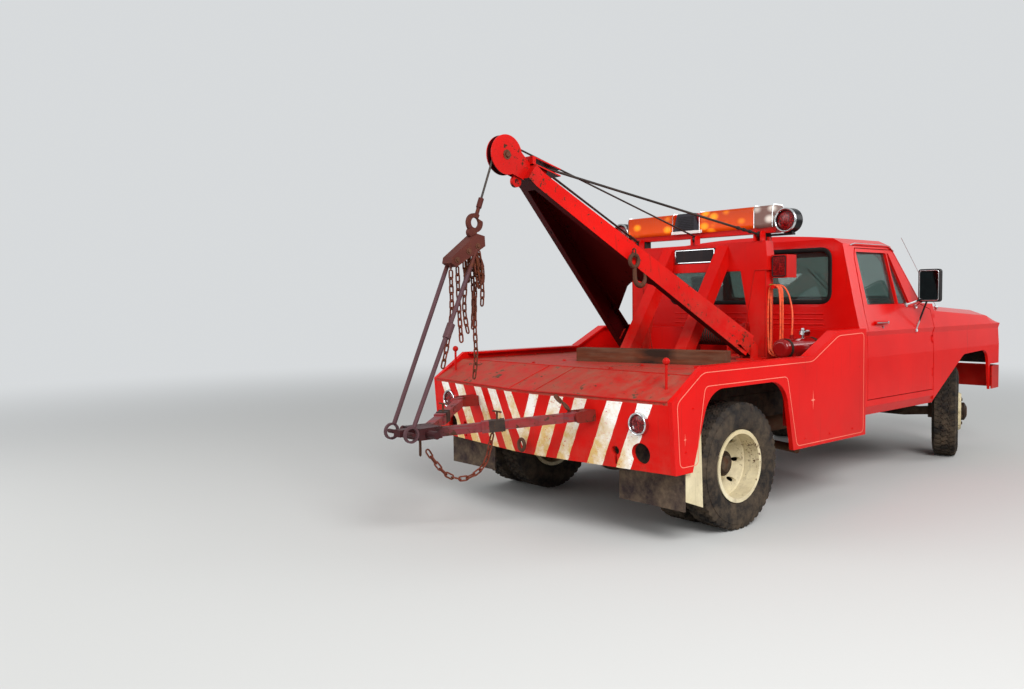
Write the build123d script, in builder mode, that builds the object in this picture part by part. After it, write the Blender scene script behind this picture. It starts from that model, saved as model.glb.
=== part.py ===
from build123d import *
import math
import os

os.makedirs("parts", exist_ok=True)

# A one-ton two-door tow truck with dual rear wheels, a wrecker body and a single A-frame boom.
# Millimetres, X forward, Y to the left, Z up, origin on the ground at mid-length.
# Stations along the truck are counted forward from the rear axle.

# Wheels and axles
wheelbase = 3404
tyre_radius = 389.5
tyre_width = 205
rim_radius = 223
rim_barrel_radius = 207
rim_width = 165
rim_wall = 8
front_track_half = 797
dual_outer_half = 950
dual_spacing = 252
hub_radius = 78
spindle_radius = 34
running_fit = 0.08
seat_gap = 0.3
kingpin_half = 692
kingpin_radius = 17
boss_radius = 36
boss_height = 80
steer_rest_angle = 22

# Chassis
rail_half = 397.5
rail_width = 65
rail_bottom = 520
rail_height = 180
rail_wall = 8
rail_rear = -690
rail_front = 3960
spring_width = 60
spring_leaf = 12

# Wrecker body
body_half = 1111
panel_thickness = 30
panel_bottom = 440
panel_front = 1383
knee_rear = -482
knee_front = 672
knee_shoulder = 997
body_rail_top = 1027
shoulder_top = 1187
body_rail_width = 80
body_rail_thickness = 14
arch_bottom_rear = -578
arch_bottom_front = 470
arch_top_rear = -410
arch_top_front = 365
arch_top = 893
arch_corner = 185
tail_corner = -747
tail_middle = -864
tail_flat_half = 120
tail_top = 849
tail_undercut = 34
tail_thickness = 30
apron_thickness = 20
deck_top = 975
deck_thickness = 22
lamp_radius = 66
lamp_y = 888
lamp_z = 712
spare_hole_z = 540
spare_hole_radius = 61
keyhole_y = 712
keyhole_z = 540
keyhole_radius = 27

# Mast
mast_rear = 895
mast_depth = 90
mast_wall = 10
crosshead_half = 640
crosshead_bottom = 1606
crosshead_top = 1812
post_outer = 622
post_top_inner = 411
post_foot_inner = 532
brace_y = 255
brace_size = 98
brace_foot_rear = 345

# Boom
boom_foot_station = 790
boom_foot_z = 1052
leg_foot_outer = 585
leg_neck_outer = 78
boom_pin_radius = 18
leg_foot_depth = 165
leg_neck_depth = 108
leg_flange = 52
leg_wall = 8
neck_station = -752
neck_z = 2166
sheave_station = -980
sheave_z = 2305
sheave_radius = 68
sheave_width = 22
sheave_pin_radius = 14
cheek_radius = 122
cheek_thickness = 8
cheek_gap = 36
line_radius = 6
stay_axis_station = 905
stay_axis_z = 1858
stay_y = 560
stay_pin_radius = 12

# Tow gear
tow_pivot_station = -925
tow_pivot_z = 735
tow_pivot_half = 545
tow_pin_radius = 15
arm_size = 52
yoke_station = -1560
yoke_z = 662
yoke_half = 85
sling_foot_station = -1765
sling_foot_z = 672
sling_foot_half = 100
sling_pin_radius = 12
sling_eye_inner = 36
sling_eye_outer = 48
spreader_front = -1205
spreader_front_z = 1765
spreader_rear = -1400
spreader_rear_z = 1645
chain_pitch = 44
chain_wire = 10
chain_width = 34

# Cab
cab_back = 1535
door_rear = 1655
door_front = 2743
belt_half = 989
belt_z = 1153
sill_half = 945
sill_z = 1335
drip_half = 838
drip_z = 1802
roof_top = 1892
floor_z = 730
rocker_z = 645
rocker_bottom = 532
cab_wall = 38
door_thickness = 58
door_gap = 6
frame_gap = 12
cab_front = 2800
cowl_z = 1345
hood_z = 1366
hood_drop = 66
nose_drop = 118
nose_start = 3900
nose_station = 4088
fender_skin = 22
fender_half = 985
hood_half = 778
grille_bottom = 790
bumper_bottom = 565
bumper_top = 770
bumper_face = 4130
guard_face = 4160

tow_gear_reach = sling_eye_outer - sling_foot_station
rear_axle_x = (tow_gear_reach - guard_face) / 2
axle_z = tyre_radius
rail_top = rail_bottom + rail_height
rail_outer = rail_half + rail_width / 2
panel_inner = body_half - panel_thickness
apron_bottom = tail_top - apron_thickness
sides = (("left", 1), ("right", -1))


def side_plane(y):
    """An upright plane along the truck, drawn in stations and heights; it extrudes to the right."""
    return Plane((rear_axle_x, y, 0), x_dir=(1, 0, 0), z_dir=(0, -1, 0))


def cross_plane(station):
    """An upright plane across the truck, drawn in widths and heights; it extrudes forward."""
    return Plane((rear_axle_x + station, 0, 0), x_dir=(0, 1, 0), z_dir=(1, 0, 0))


def level_plane(z):
    """A level plane, drawn in stations and widths; it extrudes upward."""
    return Plane((rear_axle_x, 0, z))


def point(station, y, z):
    """A point of the truck, its station counted from the rear axle."""
    return Vector(rear_axle_x + station, y, z)


def save(block, name):
    """Label a finished piece and write it under its node's name."""
    block.part.label = name
    export_step(block.part, "parts/" + name + ".step")


# Ladder frame: two channel rails open to the middle, with crossmembers
crossmembers = (
    # station, drop below the rail's top, height
    (-660, 20, 130),
    (-300, 20, 110),
    (620, 20, 110),
    (1500, 20, 110),
    (2260, 0, 60),
    (3160, 100, 70),
    (3890, 20, 130),
)
crossmember_length = 60
with BuildPart() as frame:
    for side, sign in sides:
        with BuildSketch(cross_plane(rail_rear)):
            with Locations((sign * rail_half, rail_bottom + rail_height / 2)):
                Rectangle(rail_width, rail_height)
            with Locations((sign * (rail_half - rail_wall), rail_bottom + rail_height / 2)):
                Rectangle(rail_width, rail_height - 2 * rail_wall, mode=Mode.SUBTRACT)
        extrude(amount=rail_front - rail_rear)
    for station, drop, height in crossmembers:
        with BuildSketch(cross_plane(station)):
            with Locations((0, rail_top - drop - height / 2)):
                Rectangle(2 * (rail_outer - rail_wall), height)
        extrude(amount=crossmember_length)
save(frame, "frame")

# Engine: one block at its place, on its crossmember
engine_rear = 3000
engine_front = 3640
engine_bottom = rail_top - 100 + seat_gap
with BuildPart() as engine:
    with BuildSketch(cross_plane(engine_rear)):
        with Locations((0, engine_bottom + 190)):
            Rectangle(520, 380)
    extrude(amount=engine_front - engine_rear)
save(engine, "engine")

# Bell housing, gearbox and driveshaft
gearbox_z = 585
shaft_radius = 42
pinion_reach = 330
shaft_front = 2390
shaft_end_z = axle_z + 10
with BuildPart() as driveline:
    with BuildSketch(cross_plane(engine_rear - seat_gap)):
        with Locations((0, gearbox_z + 70)):
            Circle(175)
    extrude(amount=-130)
    with BuildSketch(cross_plane(engine_rear - 130)):
        with Locations((0, gearbox_z)):
            RectangleRounded(230, 220, 40)
    extrude(amount=shaft_front - engine_rear + 130)
    shaft_drop = shaft_end_z - gearbox_z
    shaft_run = pinion_reach + seat_gap - shaft_front
    with BuildSketch(Plane(point(shaft_front + 10, 0, gearbox_z), x_dir=(0, 1, 0),
                           z_dir=(shaft_run, 0, shaft_drop))):
        Circle(shaft_radius)
    extrude(amount=math.hypot(shaft_run, shaft_drop) - 20)
save(driveline, "driveline")

# Rear axle: banjo housing, tubes, full-floating spindles and the pinion nose
tube_radius = 46
tube_half = 580
spindle_end = dual_outer_half - 70
with BuildPart() as rear_axle:
    with BuildSketch(level_plane(axle_z)):
        with BuildLine():
            Polyline((0, spindle_end), (spindle_radius, spindle_end), (spindle_radius, tube_half),
                     (tube_radius, tube_half), (tube_radius, 190))
            ThreePointArc((tube_radius, 190), (168, 0), (tube_radius, -190))
            Polyline((tube_radius, -190), (tube_radius, -tube_half), (spindle_radius, -tube_half),
                     (spindle_radius, -spindle_end), (0, -spindle_end), (0, spindle_end))
        make_face()
    revolve(axis=Axis(point(0, 0, axle_z), (0, 1, 0)))
    with BuildSketch(cross_plane(0)):
        with Locations((0, axle_z)):
            Circle(72)
    extrude(amount=pinion_reach)
save(rear_axle, "rear_axle")

# Front axle: a dropped I-beam with kingpin bosses
beam_half_depth = 34
beam_drop = 62
beam_height = 86
boss_bore = kingpin_radius + running_fit
with BuildPart() as front_axle:
    with BuildSketch(cross_plane(wheelbase - beam_half_depth)):
        with BuildLine():
            Polyline((-kingpin_half, axle_z + 36), (-560, axle_z + 20), (-480, axle_z - beam_drop + beam_height),
                     (480, axle_z - beam_drop + beam_height), (560, axle_z + 20), (kingpin_half, axle_z + 36),
                     (kingpin_half, axle_z - 36), (560, axle_z - 50), (450, axle_z - beam_drop),
                     (-450, axle_z - beam_drop), (-560, axle_z - 50), (-kingpin_half, axle_z - 36), close=True)
        make_face()
    extrude(amount=2 * beam_half_depth)
    for end in (-beam_half_depth, beam_half_depth):
        with BuildSketch(cross_plane(wheelbase + end)):
            with Locations((0, axle_z - beam_drop + beam_height / 2)):
                Rectangle(880, beam_height - 36)
        extrude(amount=-22 if end > 0 else 22, mode=Mode.SUBTRACT)
    with BuildSketch(level_plane(axle_z - boss_height / 2)):
        with Locations((wheelbase, kingpin_half), (wheelbase, -kingpin_half)):
            Circle(boss_radius)
    extrude(amount=boss_height)
    with BuildSketch(level_plane(axle_z - boss_height / 2)):
        with Locations((wheelbase, kingpin_half), (wheelbase, -kingpin_half)):
            Circle(boss_bore)
    extrude(amount=boss_height, mode=Mode.SUBTRACT)
save(front_axle, "front_axle")

# Leaf springs under the rails, one pack over each axle's end
spring_packs = (
    # station, seat height, half length, leaves
    (0, axle_z + tube_radius + seat_gap, 640, 5),
    (wheelbase, axle_z - beam_drop + beam_height + seat_gap, 500, 4),
)
with BuildPart() as springs:
    for station, seat, half_length, leaves in spring_packs:
        rise = rail_bottom - seat_gap - seat - spring_leaf
        for side, sign in sides:
            for leaf in range(leaves):
                reach = half_length * (1 - 0.17 * leaf)
                base = seat + (leaves - 1 - leaf) * spring_leaf
                lift = (rise - (leaves - 1) * spring_leaf) * (reach / half_length) ** 2
                with BuildSketch(side_plane(sign * rail_half + spring_width / 2)):
                    with BuildLine():
                        ThreePointArc((station - reach, base + lift), (station, base),
                                      (station + reach, base + lift))
                        Line((station + reach, base + lift), (station + reach, base + lift + spring_leaf))
                        ThreePointArc((station + reach, base + lift + spring_leaf), (station, base + spring_leaf),
                                      (station - reach, base + lift + spring_leaf))
                        Line((station - reach, base + lift + spring_leaf), (station - reach, base + lift))
                    make_face()
                extrude(amount=spring_width)
save(springs, "springs")

# Exhaust: pipe down from the engine, muffler, and a tailpipe out ahead of the right rear wheel
pipe_radius = 28
muffler_radius = 72
exhaust_y = -300
exhaust_z = 440
with BuildPart() as exhaust:
    with BuildLine() as pipe_route:
        FilletPolyline(point(2950, exhaust_y, exhaust_z), point(760, exhaust_y, exhaust_z),
                       point(620, -1040, exhaust_z - 20), radius=140)
    with BuildSketch(Plane(pipe_route.line @ 0, z_dir=pipe_route.line % 0)):
        Circle(pipe_radius)
    sweep()
    with BuildSketch(cross_plane(1180)):
        with Locations((exhaust_y, exhaust_z)):
            Circle(muffler_radius)
    extrude(amount=620)
    with BuildSketch(level_plane(exhaust_z)):
        with Locations((2900, exhaust_y + 20)):
            Rectangle(60, 60)
    extrude(amount=engine_bottom - exhaust_z - seat_gap)
    with BuildSketch(level_plane(engine_bottom - 60)):
        with Locations((2960, exhaust_y + 40)):
            Rectangle(180, 60)
    extrude(amount=60 - seat_gap)
save(exhaust, "exhaust")

# Fuel tank, hung outside the left rail under the cab floor
with BuildPart() as fuel_tank:
    with BuildSketch(cross_plane(1720)):
        with Locations((rail_outer + seat_gap + 170, 590)):
            RectangleRounded(340, 190, 35)
    extrude(amount=700)
save(fuel_tank, "fuel_tank")

# Wheels: tyres of straight bands, dished rims with hand holes, hubs bored for their spindles
bead_half = rim_width / 2 - rim_wall - seat_gap
wheel_table = (
    # name, station, sign, rest angle, where the rims stand along the wheel's own axis, dish direction
    ("front_left", wheelbase, 1, steer_rest_angle, ((front_track_half - kingpin_half, 1),)),
    ("front_right", wheelbase, -1, steer_rest_angle, ((front_track_half - kingpin_half, 1),)),
    ("rear_left", 0, 1, 0, ((dual_outer_half, -1), (dual_outer_half - dual_spacing, 1))),
    ("rear_right", 0, -1, 0, ((dual_outer_half, -1), (dual_outer_half - dual_spacing, 1))),
)


def wheel_plane(station, sign, angle):
    """An upright plane through a wheel's axis; X runs out along the axis from the kingpin or mid-truck."""
    turn = math.radians(angle)
    outward = (-sign * math.sin(turn), sign * math.cos(turn), 0)
    origin = point(station, sign * kingpin_half if angle else 0, axle_z)
    return Plane(origin, x_dir=outward, z_dir=(outward[1], -outward[0], 0))


for name, station, sign, angle, seats in wheel_table:
    plane = wheel_plane(station, sign, angle)
    wheel_axis = Axis(plane.origin, plane.x_dir)
    with BuildPart() as tyre:
        for middle, dish in seats:
            with BuildSketch(plane):
                with BuildLine():
                    Polyline(
                        (middle - bead_half, rim_barrel_radius + seat_gap),
                        (middle + bead_half, rim_barrel_radius + seat_gap),
                        (middle + bead_half, rim_radius + 3),
                        (middle + tyre_width / 2, 296),
                        (middle + tyre_width / 2 - 6, 350),
                        (middle + tyre_width / 2 - 24, tyre_radius),
                        (middle - tyre_width / 2 + 24, tyre_radius),
                        (middle - tyre_width / 2 + 6, 350),
                        (middle - tyre_width / 2, 296),
                        (middle - bead_half, rim_radius + 3),
                        close=True,
                    )
                make_face()
            revolve(axis=wheel_axis)
    save(tyre, "tyre_" + name)
    with BuildPart() as rim:
        for middle, dish in seats:
            half = rim_width / 2
            disc = dish * 118
            with BuildSketch(plane):
                with BuildLine():
                    Polyline((middle - half, rim_radius), (middle - half + rim_wall, rim_radius),
                             (middle - half + rim_wall, rim_barrel_radius),
                             (middle + half - rim_wall, rim_barrel_radius),
                             (middle + half - rim_wall, rim_radius), (middle + half, rim_radius),
                             (middle + half, rim_barrel_radius - rim_wall),
                             (middle - half, rim_barrel_radius - rim_wall), close=True)
                make_face()
            revolve(axis=wheel_axis)
            with BuildSketch(plane):
                with BuildLine():
                    Polyline((middle + dish * 20, rim_barrel_radius - 2), (middle + dish * 30, 192),
                             (middle + disc - dish * 6, 150), (middle + disc - dish * 6, hub_radius - 2),
                             (middle + disc + dish * 5.8, hub_radius - 2), (middle + disc + dish * 5.8, 154),
                             (middle + dish * 40, rim_barrel_radius - 2), close=True)
                make_face()
            revolve(axis=wheel_axis)
            # Hand holes round the dish
            with BuildSketch(Plane(plane.origin + plane.x_dir * (middle + disc), x_dir=(0, 0, 1),
                                   z_dir=plane.x_dir)):
                with PolarLocations(172, 8):
                    Circle(15)
            extrude(amount=120, both=True, mode=Mode.SUBTRACT)
        inner_end = min(middle + (118 if dish > 0 else -118) for middle, dish in seats) - 55
        outer_end = max(middle + dish * 118 for middle, dish in seats) + (42 if angle else 96)
        with BuildSketch(plane):
            with BuildLine():
                Polyline((inner_end, 0), (inner_end, hub_radius), (outer_end - 14, hub_radius),
                         (outer_end, 58), (outer_end, 0), close=True)
            make_face()
        revolve(axis=wheel_axis)
        bore_end = outer_end - 22
        with BuildSketch(plane):
            with BuildLine():
                Polyline((inner_end - 1, 0), (inner_end - 1, spindle_radius + running_fit),
                         (bore_end, spindle_radius + running_fit), (bore_end, 0), close=True)
            make_face()
        revolve(axis=wheel_axis, mode=Mode.SUBTRACT)
    save(rim, "rim_" + name)

# Steering knuckles: a fork over the axle's boss, the kingpin in it, and the spindle
fork_gap = 1
fork_thickness = 22
fork_half = boss_height / 2 + fork_gap
front_hub_inner = front_track_half - kingpin_half + 118 - 55
for name, station, sign, angle, seats in wheel_table[:2]:
    plane = wheel_plane(station, sign, angle)
    upright = Plane(plane.origin, x_dir=plane.x_dir, z_dir=(0, 0, 1))
    with BuildPart() as knuckle:
        with BuildSketch(upright.offset(-fork_half - fork_thickness)):
            Circle(boss_radius)
            with Locations((40, 0)):
                Rectangle(80, 2 * boss_radius)
        extrude(amount=2 * fork_half + 2 * fork_thickness)
        with BuildSketch(upright.offset(-fork_half)):
            Circle(boss_radius + 6)
        extrude(amount=2 * fork_half, mode=Mode.SUBTRACT)
        with BuildSketch(upright.offset(-fork_half - fork_thickness / 2)):
            Circle(kingpin_radius)
        extrude(amount=2 * fork_half + fork_thickness)
        with BuildSketch(Plane(plane.origin + plane.x_dir * 60, x_dir=(0, 0, 1), z_dir=plane.x_dir)):
            Circle(58)
        extrude(amount=front_hub_inner - 60 - seat_gap)
        with BuildSketch(Plane(plane.origin + plane.x_dir * 70, x_dir=(0, 0, 1), z_dir=plane.x_dir)):
            Circle(spindle_radius)
        extrude(amount=front_hub_inner)
    save(knuckle, "knuckle_" + name[6:])

# Body side panels: skirt with the wheel arch, rail and shoulder, and a flange along the rail
for side, sign in sides:
    outer_face = sign * body_half
    with BuildPart() as side_panel:
        with BuildSketch(side_plane(outer_face)):
            with BuildLine():
                Polyline((tail_corner + tail_undercut, panel_bottom), (panel_front, panel_bottom),
                         (panel_front, shoulder_top), (knee_shoulder, shoulder_top - 4),
                         (knee_front, body_rail_top), (knee_rear, body_rail_top), (tail_corner, tail_top),
                         close=True)
            make_face()
            with BuildSketch(mode=Mode.SUBTRACT) as arch:
                with BuildLine():
                    Polyline((arch_bottom_rear, panel_bottom - 40), (arch_top_rear, arch_top),
                             (arch_top_front, arch_top), (arch_bottom_front, panel_bottom - 40), close=True)
                make_face()
                fillet(arch.vertices().group_by(Axis.Y)[-1], arch_corner)
        extrude(amount=sign * panel_thickness)
        with BuildSketch(side_plane(outer_face)):
            with BuildLine():
                Polyline((knee_rear + 30, body_rail_top - body_rail_thickness),
                         (knee_rear + 30, body_rail_top), (knee_front, body_rail_top),
                         (knee_shoulder, shoulder_top - 4), (panel_front, shoulder_top),
                         (panel_front, shoulder_top - body_rail_thickness),
                         (knee_shoulder + 4, shoulder_top - 4 - body_rail_thickness),
                         (knee_front + 4, body_rail_top - body_rail_thickness), close=True)
            make_face()
        extrude(amount=sign * body_rail_width)
    save(side_panel, "side_panel_" + side)

# Tail panel: a shallow vee in plan, leaning in at the bottom, with lamp holes and keyhole chain slots
with BuildPart() as tail_panel:
    for height, shift in ((panel_bottom, tail_undercut), (apron_bottom - seat_gap, 0)):
        corner = tail_corner + shift
        middle = tail_middle + shift
        half = panel_inner - seat_gap
        with BuildSketch(level_plane(height)):
            with BuildLine():
                Polyline((corner, -half), (middle, -tail_flat_half), (middle, tail_flat_half), (corner, half),
                         (corner + tail_thickness, half), (middle + tail_thickness, tail_flat_half),
                         (middle + tail_thickness, -tail_flat_half), (corner + tail_thickness, -half), close=True)
            make_face()
    loft(ruled=True)
    with BuildSketch(cross_plane(tail_middle - 40)):
        for side, sign in sides:
            with Locations((sign * lamp_y, lamp_z)):
                Circle(lamp_radius)
            with Locations((sign * lamp_y, spare_hole_z)):
                Circle(spare_hole_radius)
            with Locations((sign * keyhole_y, keyhole_z)):
                Circle(keyhole_radius)
            with Locations((sign * keyhole_y, keyhole_z - 40)):
                Rectangle(18, 80)
    extrude(amount=240, mode=Mode.SUBTRACT)
save(tail_panel, "tail_panel")

# Deck: level plate behind the cab, bent down over the tail as a sloping apron in four facets
apron_front = knee_rear - 18
apron_half = panel_inner - seat_gap
deck_front = panel_front - 40
with BuildPart() as deck:
    for half, rear in ((apron_half, tail_corner), (tail_flat_half, tail_middle), (-tail_flat_half, tail_middle),
                       (-apron_half, tail_corner)):
        with BuildSketch(side_plane(half)):
            with BuildLine():
                Polyline((rear, apron_bottom), (rear, tail_top), (apron_front, deck_top),
                         (apron_front, deck_top - deck_thickness), close=True)
            make_face()
    loft(ruled=True)
    with BuildSketch(level_plane(deck_top - deck_thickness)):
        with Locations(((apron_front + deck_front) / 2, 0)):
            Rectangle(deck_front - apron_front, 2 * apron_half)
    extrude(amount=deck_thickness)
save(deck, "deck")

# Subframe: two long sills on the rails and bearers across under the deck
bearer_stations = (-440, 520, 900, 1270)
bearer_height = 60
sill_width = 60
with BuildPart() as subframe:
    sill_bottom = rail_top + seat_gap
    sill_top = deck_top - deck_thickness - seat_gap
    for side, sign in sides:
        with BuildSketch(cross_plane(-600)):
            with Locations((sign * rail_half, (sill_bottom + sill_top - 60) / 2)):
                Rectangle(sill_width, sill_top - 60 - sill_bottom)
        extrude(amount=1980)
    for station in bearer_stations:
        with BuildSketch(cross_plane(station)):
            with Locations((0, sill_top - 31)):
                Rectangle(2 * apron_half, 62)
        extrude(amount=bearer_height)
save(subframe, "subframe")

# Front wall of the wrecker body, across between the side panels
with BuildPart() as body_front:
    with BuildSketch(cross_plane(panel_front - 38)):
        with Locations((0, (deck_top - deck_thickness + shoulder_top - body_rail_thickness) / 2)):
            Rectangle(2 * (body_half - body_rail_width) - 2 * seat_gap,
                      shoulder_top - body_rail_thickness - deck_top + deck_thickness)
        for side, sign in sides:
            with Locations((sign * 780, 700)):
                Rectangle(2 * (apron_half - 780), 520)
    extrude(amount=36)
save(body_front, "body_front")

# Tail lamps: a ring and a lens in each recess
with BuildPart() as tail_lamps:
    for side, sign in sides:
        with BuildSketch(cross_plane(tail_corner - 30)):
            with Locations((sign * lamp_y, lamp_z)):
                Circle(lamp_radius - seat_gap)
        extrude(amount=56)
        with BuildSketch(cross_plane(tail_corner - 30)):
            with Locations((sign * lamp_y, lamp_z)):
                Circle(lamp_radius - 12)
        extrude(amount=14, mode=Mode.SUBTRACT)
save(tail_lamps, "tail_lamps")

# Mud flaps behind the rear wheels, and the pale guards at the rear of each arch
flap_station = -600
flap_inner = 590
flap_bottom = 215
with BuildPart() as mud_flaps:
    for side, sign in sides:
        with BuildSketch(cross_plane(flap_station)):
            with Locations((sign * (flap_inner + panel_inner) / 2, (flap_bottom + 880) / 2)):
                Rectangle(panel_inner - seat_gap - flap_inner, 880 - flap_bottom)
        extrude(amount=10)
        with BuildSketch(cross_plane(flap_station + 10)):
            with Locations((sign * (rail_outer + panel_inner) / 2, 870)):
                Rectangle(panel_inner - rail_outer - 1, 40)
        extrude(amount=-30)
    for side, sign in sides:
        with BuildSketch(side_plane(sign * (panel_inner - seat_gap))):
            with BuildLine():
                Polyline((-452, 660), (-590, 600), (-590, 272), (-432, 215), close=True)
            make_face()
        extrude(amount=sign * 8)
save(mud_flaps, "mud_flaps")

# Tail brackets: a base on the tail panel, two ears and the tow bar's pin on each side
ear_gap = 62
ear_thickness = 14
ear_radius = 34
ear_root = -795
with BuildPart() as tail_brackets:
    for side, sign in sides:
        with BuildSketch(side_plane(sign * tow_pivot_half + (ear_gap / 2 + ear_thickness))):
            with Locations((tow_pivot_station, tow_pivot_z)):
                Circle(ear_radius)
            with Locations(((tow_pivot_station + ear_root) / 2, tow_pivot_z)):
                Rectangle(ear_root - tow_pivot_station, 2 * ear_radius)
        extrude(amount=ear_gap + 2 * ear_thickness)
        with BuildSketch(side_plane(sign * tow_pivot_half + ear_gap / 2)):
            with Locations((tow_pivot_station, tow_pivot_z)):
                Circle(ear_radius + 8)
            with Locations((tow_pivot_station, tow_pivot_z)):
                Rectangle(76, 2 * ear_radius + 2)
        extrude(amount=ear_gap, mode=Mode.SUBTRACT)
        with BuildSketch(side_plane(sign * tow_pivot_half + ear_gap / 2 + 2)):
            with Locations((tow_pivot_station, tow_pivot_z)):
                Circle(tow_pin_radius)
        extrude(amount=ear_gap + 4)
    add(tail_panel.part, mode=Mode.SUBTRACT)
save(tail_brackets, "tail_brackets")

# Red-knobbed control rods at the apron's two corners
knob_z = 1062
knob_radius = 21
rod_y = 985
rod_station = -640
rod_foot_z = 895
with BuildPart() as control_rods:
    for side, sign in sides:
        with BuildSketch(level_plane(rod_foot_z)):
            with Locations((rod_station, sign * rod_y)):
                Circle(8)
        extrude(amount=knob_z - rod_foot_z)
        with Locations(point(rod_station, sign * rod_y, knob_z)):
            Sphere(knob_radius)
    add(deck.part, mode=Mode.SUBTRACT)
save(control_rods, "control_rods")

# Timber baulk laid across the deck, behind the mast's braces
timber_length = 1090
timber_height = 94
timber_width = 110
with BuildPart() as timber:
    with BuildSketch(Plane(point(105, -235, deck_top + seat_gap), x_dir=(0.276, -0.961, 0), z_dir=(0, 0, 1))):
        Rectangle(timber_length, timber_width)
    extrude(amount=timber_height)
    chamfer(timber.edges().filter_by(Axis.Z, reverse=True).group_by(Axis.Z)[-1], 5)
save(timber, "timber")

# Mast: crosshead beam, tapered channel posts open to the front, and raked box braces
post_foot_z = deck_top + seat_gap
hose_radius = 6
hose_top_z = 1500
hank_half_width = 47
peg_radius = 8
peg_front = 974
peg_length = 82
peg_y = -679
peg_z = hose_top_z - hose_radius - peg_radius - 0.5
with BuildPart() as mast:
    with BuildSketch(cross_plane(mast_rear)):
        with BuildLine():
            Polyline((-crosshead_half, crosshead_bottom), (crosshead_half, crosshead_bottom),
                     (crosshead_half - 22, crosshead_top), (22 - crosshead_half, crosshead_top), close=True)
        make_face()
    extrude(amount=mast_depth)
    with BuildSketch(cross_plane(mast_rear + mast_depth)):
        with Locations((0, (crosshead_bottom + crosshead_top) / 2)):
            Rectangle(2 * crosshead_half - 80, crosshead_top - crosshead_bottom - 2 * mast_wall)
    extrude(amount=mast_wall - mast_depth, mode=Mode.SUBTRACT)
    for side, sign in sides:
        with BuildSketch(cross_plane(mast_rear)):
            with BuildLine():
                Polyline((sign * post_outer, crosshead_bottom), (sign * post_outer, post_foot_z),
                         (sign * post_foot_inner, post_foot_z), (sign * post_top_inner, crosshead_bottom),
                         close=True)
            make_face()
        extrude(amount=mast_depth)
        with BuildSketch(cross_plane(mast_rear + mast_depth)):
            with BuildLine():
                Polyline((sign * (post_outer - mast_wall), crosshead_bottom),
                         (sign * (post_outer - mast_wall), post_foot_z + 30),
                         (sign * (post_foot_inner + mast_wall), post_foot_z + 30),
                         (sign * (post_top_inner + mast_wall), crosshead_bottom), close=True)
            make_face()
        extrude(amount=mast_wall - mast_depth, mode=Mode.SUBTRACT)
        with BuildSketch(level_plane(post_foot_z)):
            with Locations((mast_rear + mast_depth / 2, sign * (post_outer + post_foot_inner) / 2)):
                Rectangle(mast_depth + 70, 130)
        extrude(amount=14)
        # Brace, up and forward from the deck to the crosshead's rear face
        with BuildSketch(side_plane(sign * brace_y + brace_size / 2)):
            with BuildLine():
                Polyline((brace_foot_rear, post_foot_z), (brace_foot_rear + brace_size * 1.22, post_foot_z),
                         (mast_rear + 6, crosshead_top - 170), (mast_rear + 6, crosshead_top - 8), close=True)
            make_face()
        extrude(amount=brace_size)
        with BuildSketch(level_plane(post_foot_z)):
            with Locations((brace_foot_rear + 60, sign * brace_y)):
                Rectangle(190, 150)
        extrude(amount=12)
        # Lug and pin for the topping stay
        with BuildSketch(side_plane(sign * stay_y + 34)):
            with Locations((stay_axis_station, stay_axis_z)):
                Circle(26)
            with Locations((stay_axis_station, (stay_axis_z + crosshead_top) / 2)):
                Rectangle(52, stay_axis_z - crosshead_top)
        extrude(amount=12)
        with BuildSketch(side_plane(sign * stay_y - 22)):
            with Locations((stay_axis_station, stay_axis_z)):
                Circle(26)
            with Locations((stay_axis_station, (stay_axis_z + crosshead_top) / 2)):
                Rectangle(52, stay_axis_z - crosshead_top)
        extrude(amount=12)
        with BuildSketch(side_plane(sign * stay_y + 30)):
            with Locations((stay_axis_station, stay_axis_z)):
                Circle(stay_pin_radius)
        extrude(amount=60)
    # Guide for the hoist line on the middle of the crosshead
    for guide_y in (26, -14):
        with BuildSketch(side_plane(guide_y)):
            with Locations((stay_axis_station, stay_axis_z)):
                Circle(26)
            with Locations((stay_axis_station, (stay_axis_z + crosshead_top) / 2)):
                Rectangle(52, stay_axis_z - crosshead_top)
        extrude(amount=12)
    with BuildSketch(side_plane(20)):
        with Locations((stay_axis_station, stay_axis_z)):
            Circle(stay_pin_radius)
    extrude(amount=40)
    # Notch where the hoist line goes down through the crosshead
    with BuildSketch(level_plane(crosshead_top - 2 * mast_wall)):
        with Locations((955, 0)):
            Rectangle(70, 28)
    extrude(amount=3 * mast_wall, mode=Mode.SUBTRACT)
    # Bracket on the right post, and the peg that the air hose hangs on
    with BuildSketch(side_plane(1 - post_outer)):
        with Locations((peg_front + 4, peg_z)):
            Rectangle(8, 20)
    extrude(amount=-peg_y + 12 - post_outer)
    with BuildSketch(cross_plane(peg_front + 1)):
        with Locations((peg_y, peg_z)):
            Circle(peg_radius)
    extrude(amount=-peg_length)
    with BuildSketch(cross_plane(peg_front + 1 - peg_length)):
        with Locations((peg_y, peg_z)):
            Circle(peg_radius + 6)
    extrude(amount=-5)
    # Ears and pins at the deck for the boom's feet
    for side, sign in sides:
        foot_middle = sign * (leg_foot_outer - leg_flange / 2)
        for shift in (leg_flange / 2 + 18, -leg_flange / 2 - 6):
            with BuildSketch(side_plane(foot_middle + shift)):
                with Locations((boom_foot_station, boom_foot_z)):
                    Circle(38)
                with Locations((boom_foot_station, (boom_foot_z + post_foot_z) / 2)):
                    Rectangle(76, boom_foot_z - post_foot_z)
            extrude(amount=12)
        with BuildSketch(side_plane(foot_middle + leg_flange / 2 + 10)):
            with Locations((boom_foot_station, boom_foot_z)):
                Circle(boom_pin_radius)
        extrude(amount=leg_flange + 20)
        with BuildSketch(level_plane(post_foot_z)):
            with Locations((boom_foot_station - 5, foot_middle)):
                Rectangle(150, leg_flange + 60)
        extrude(amount=12)
save(mast, "mast")

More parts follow.
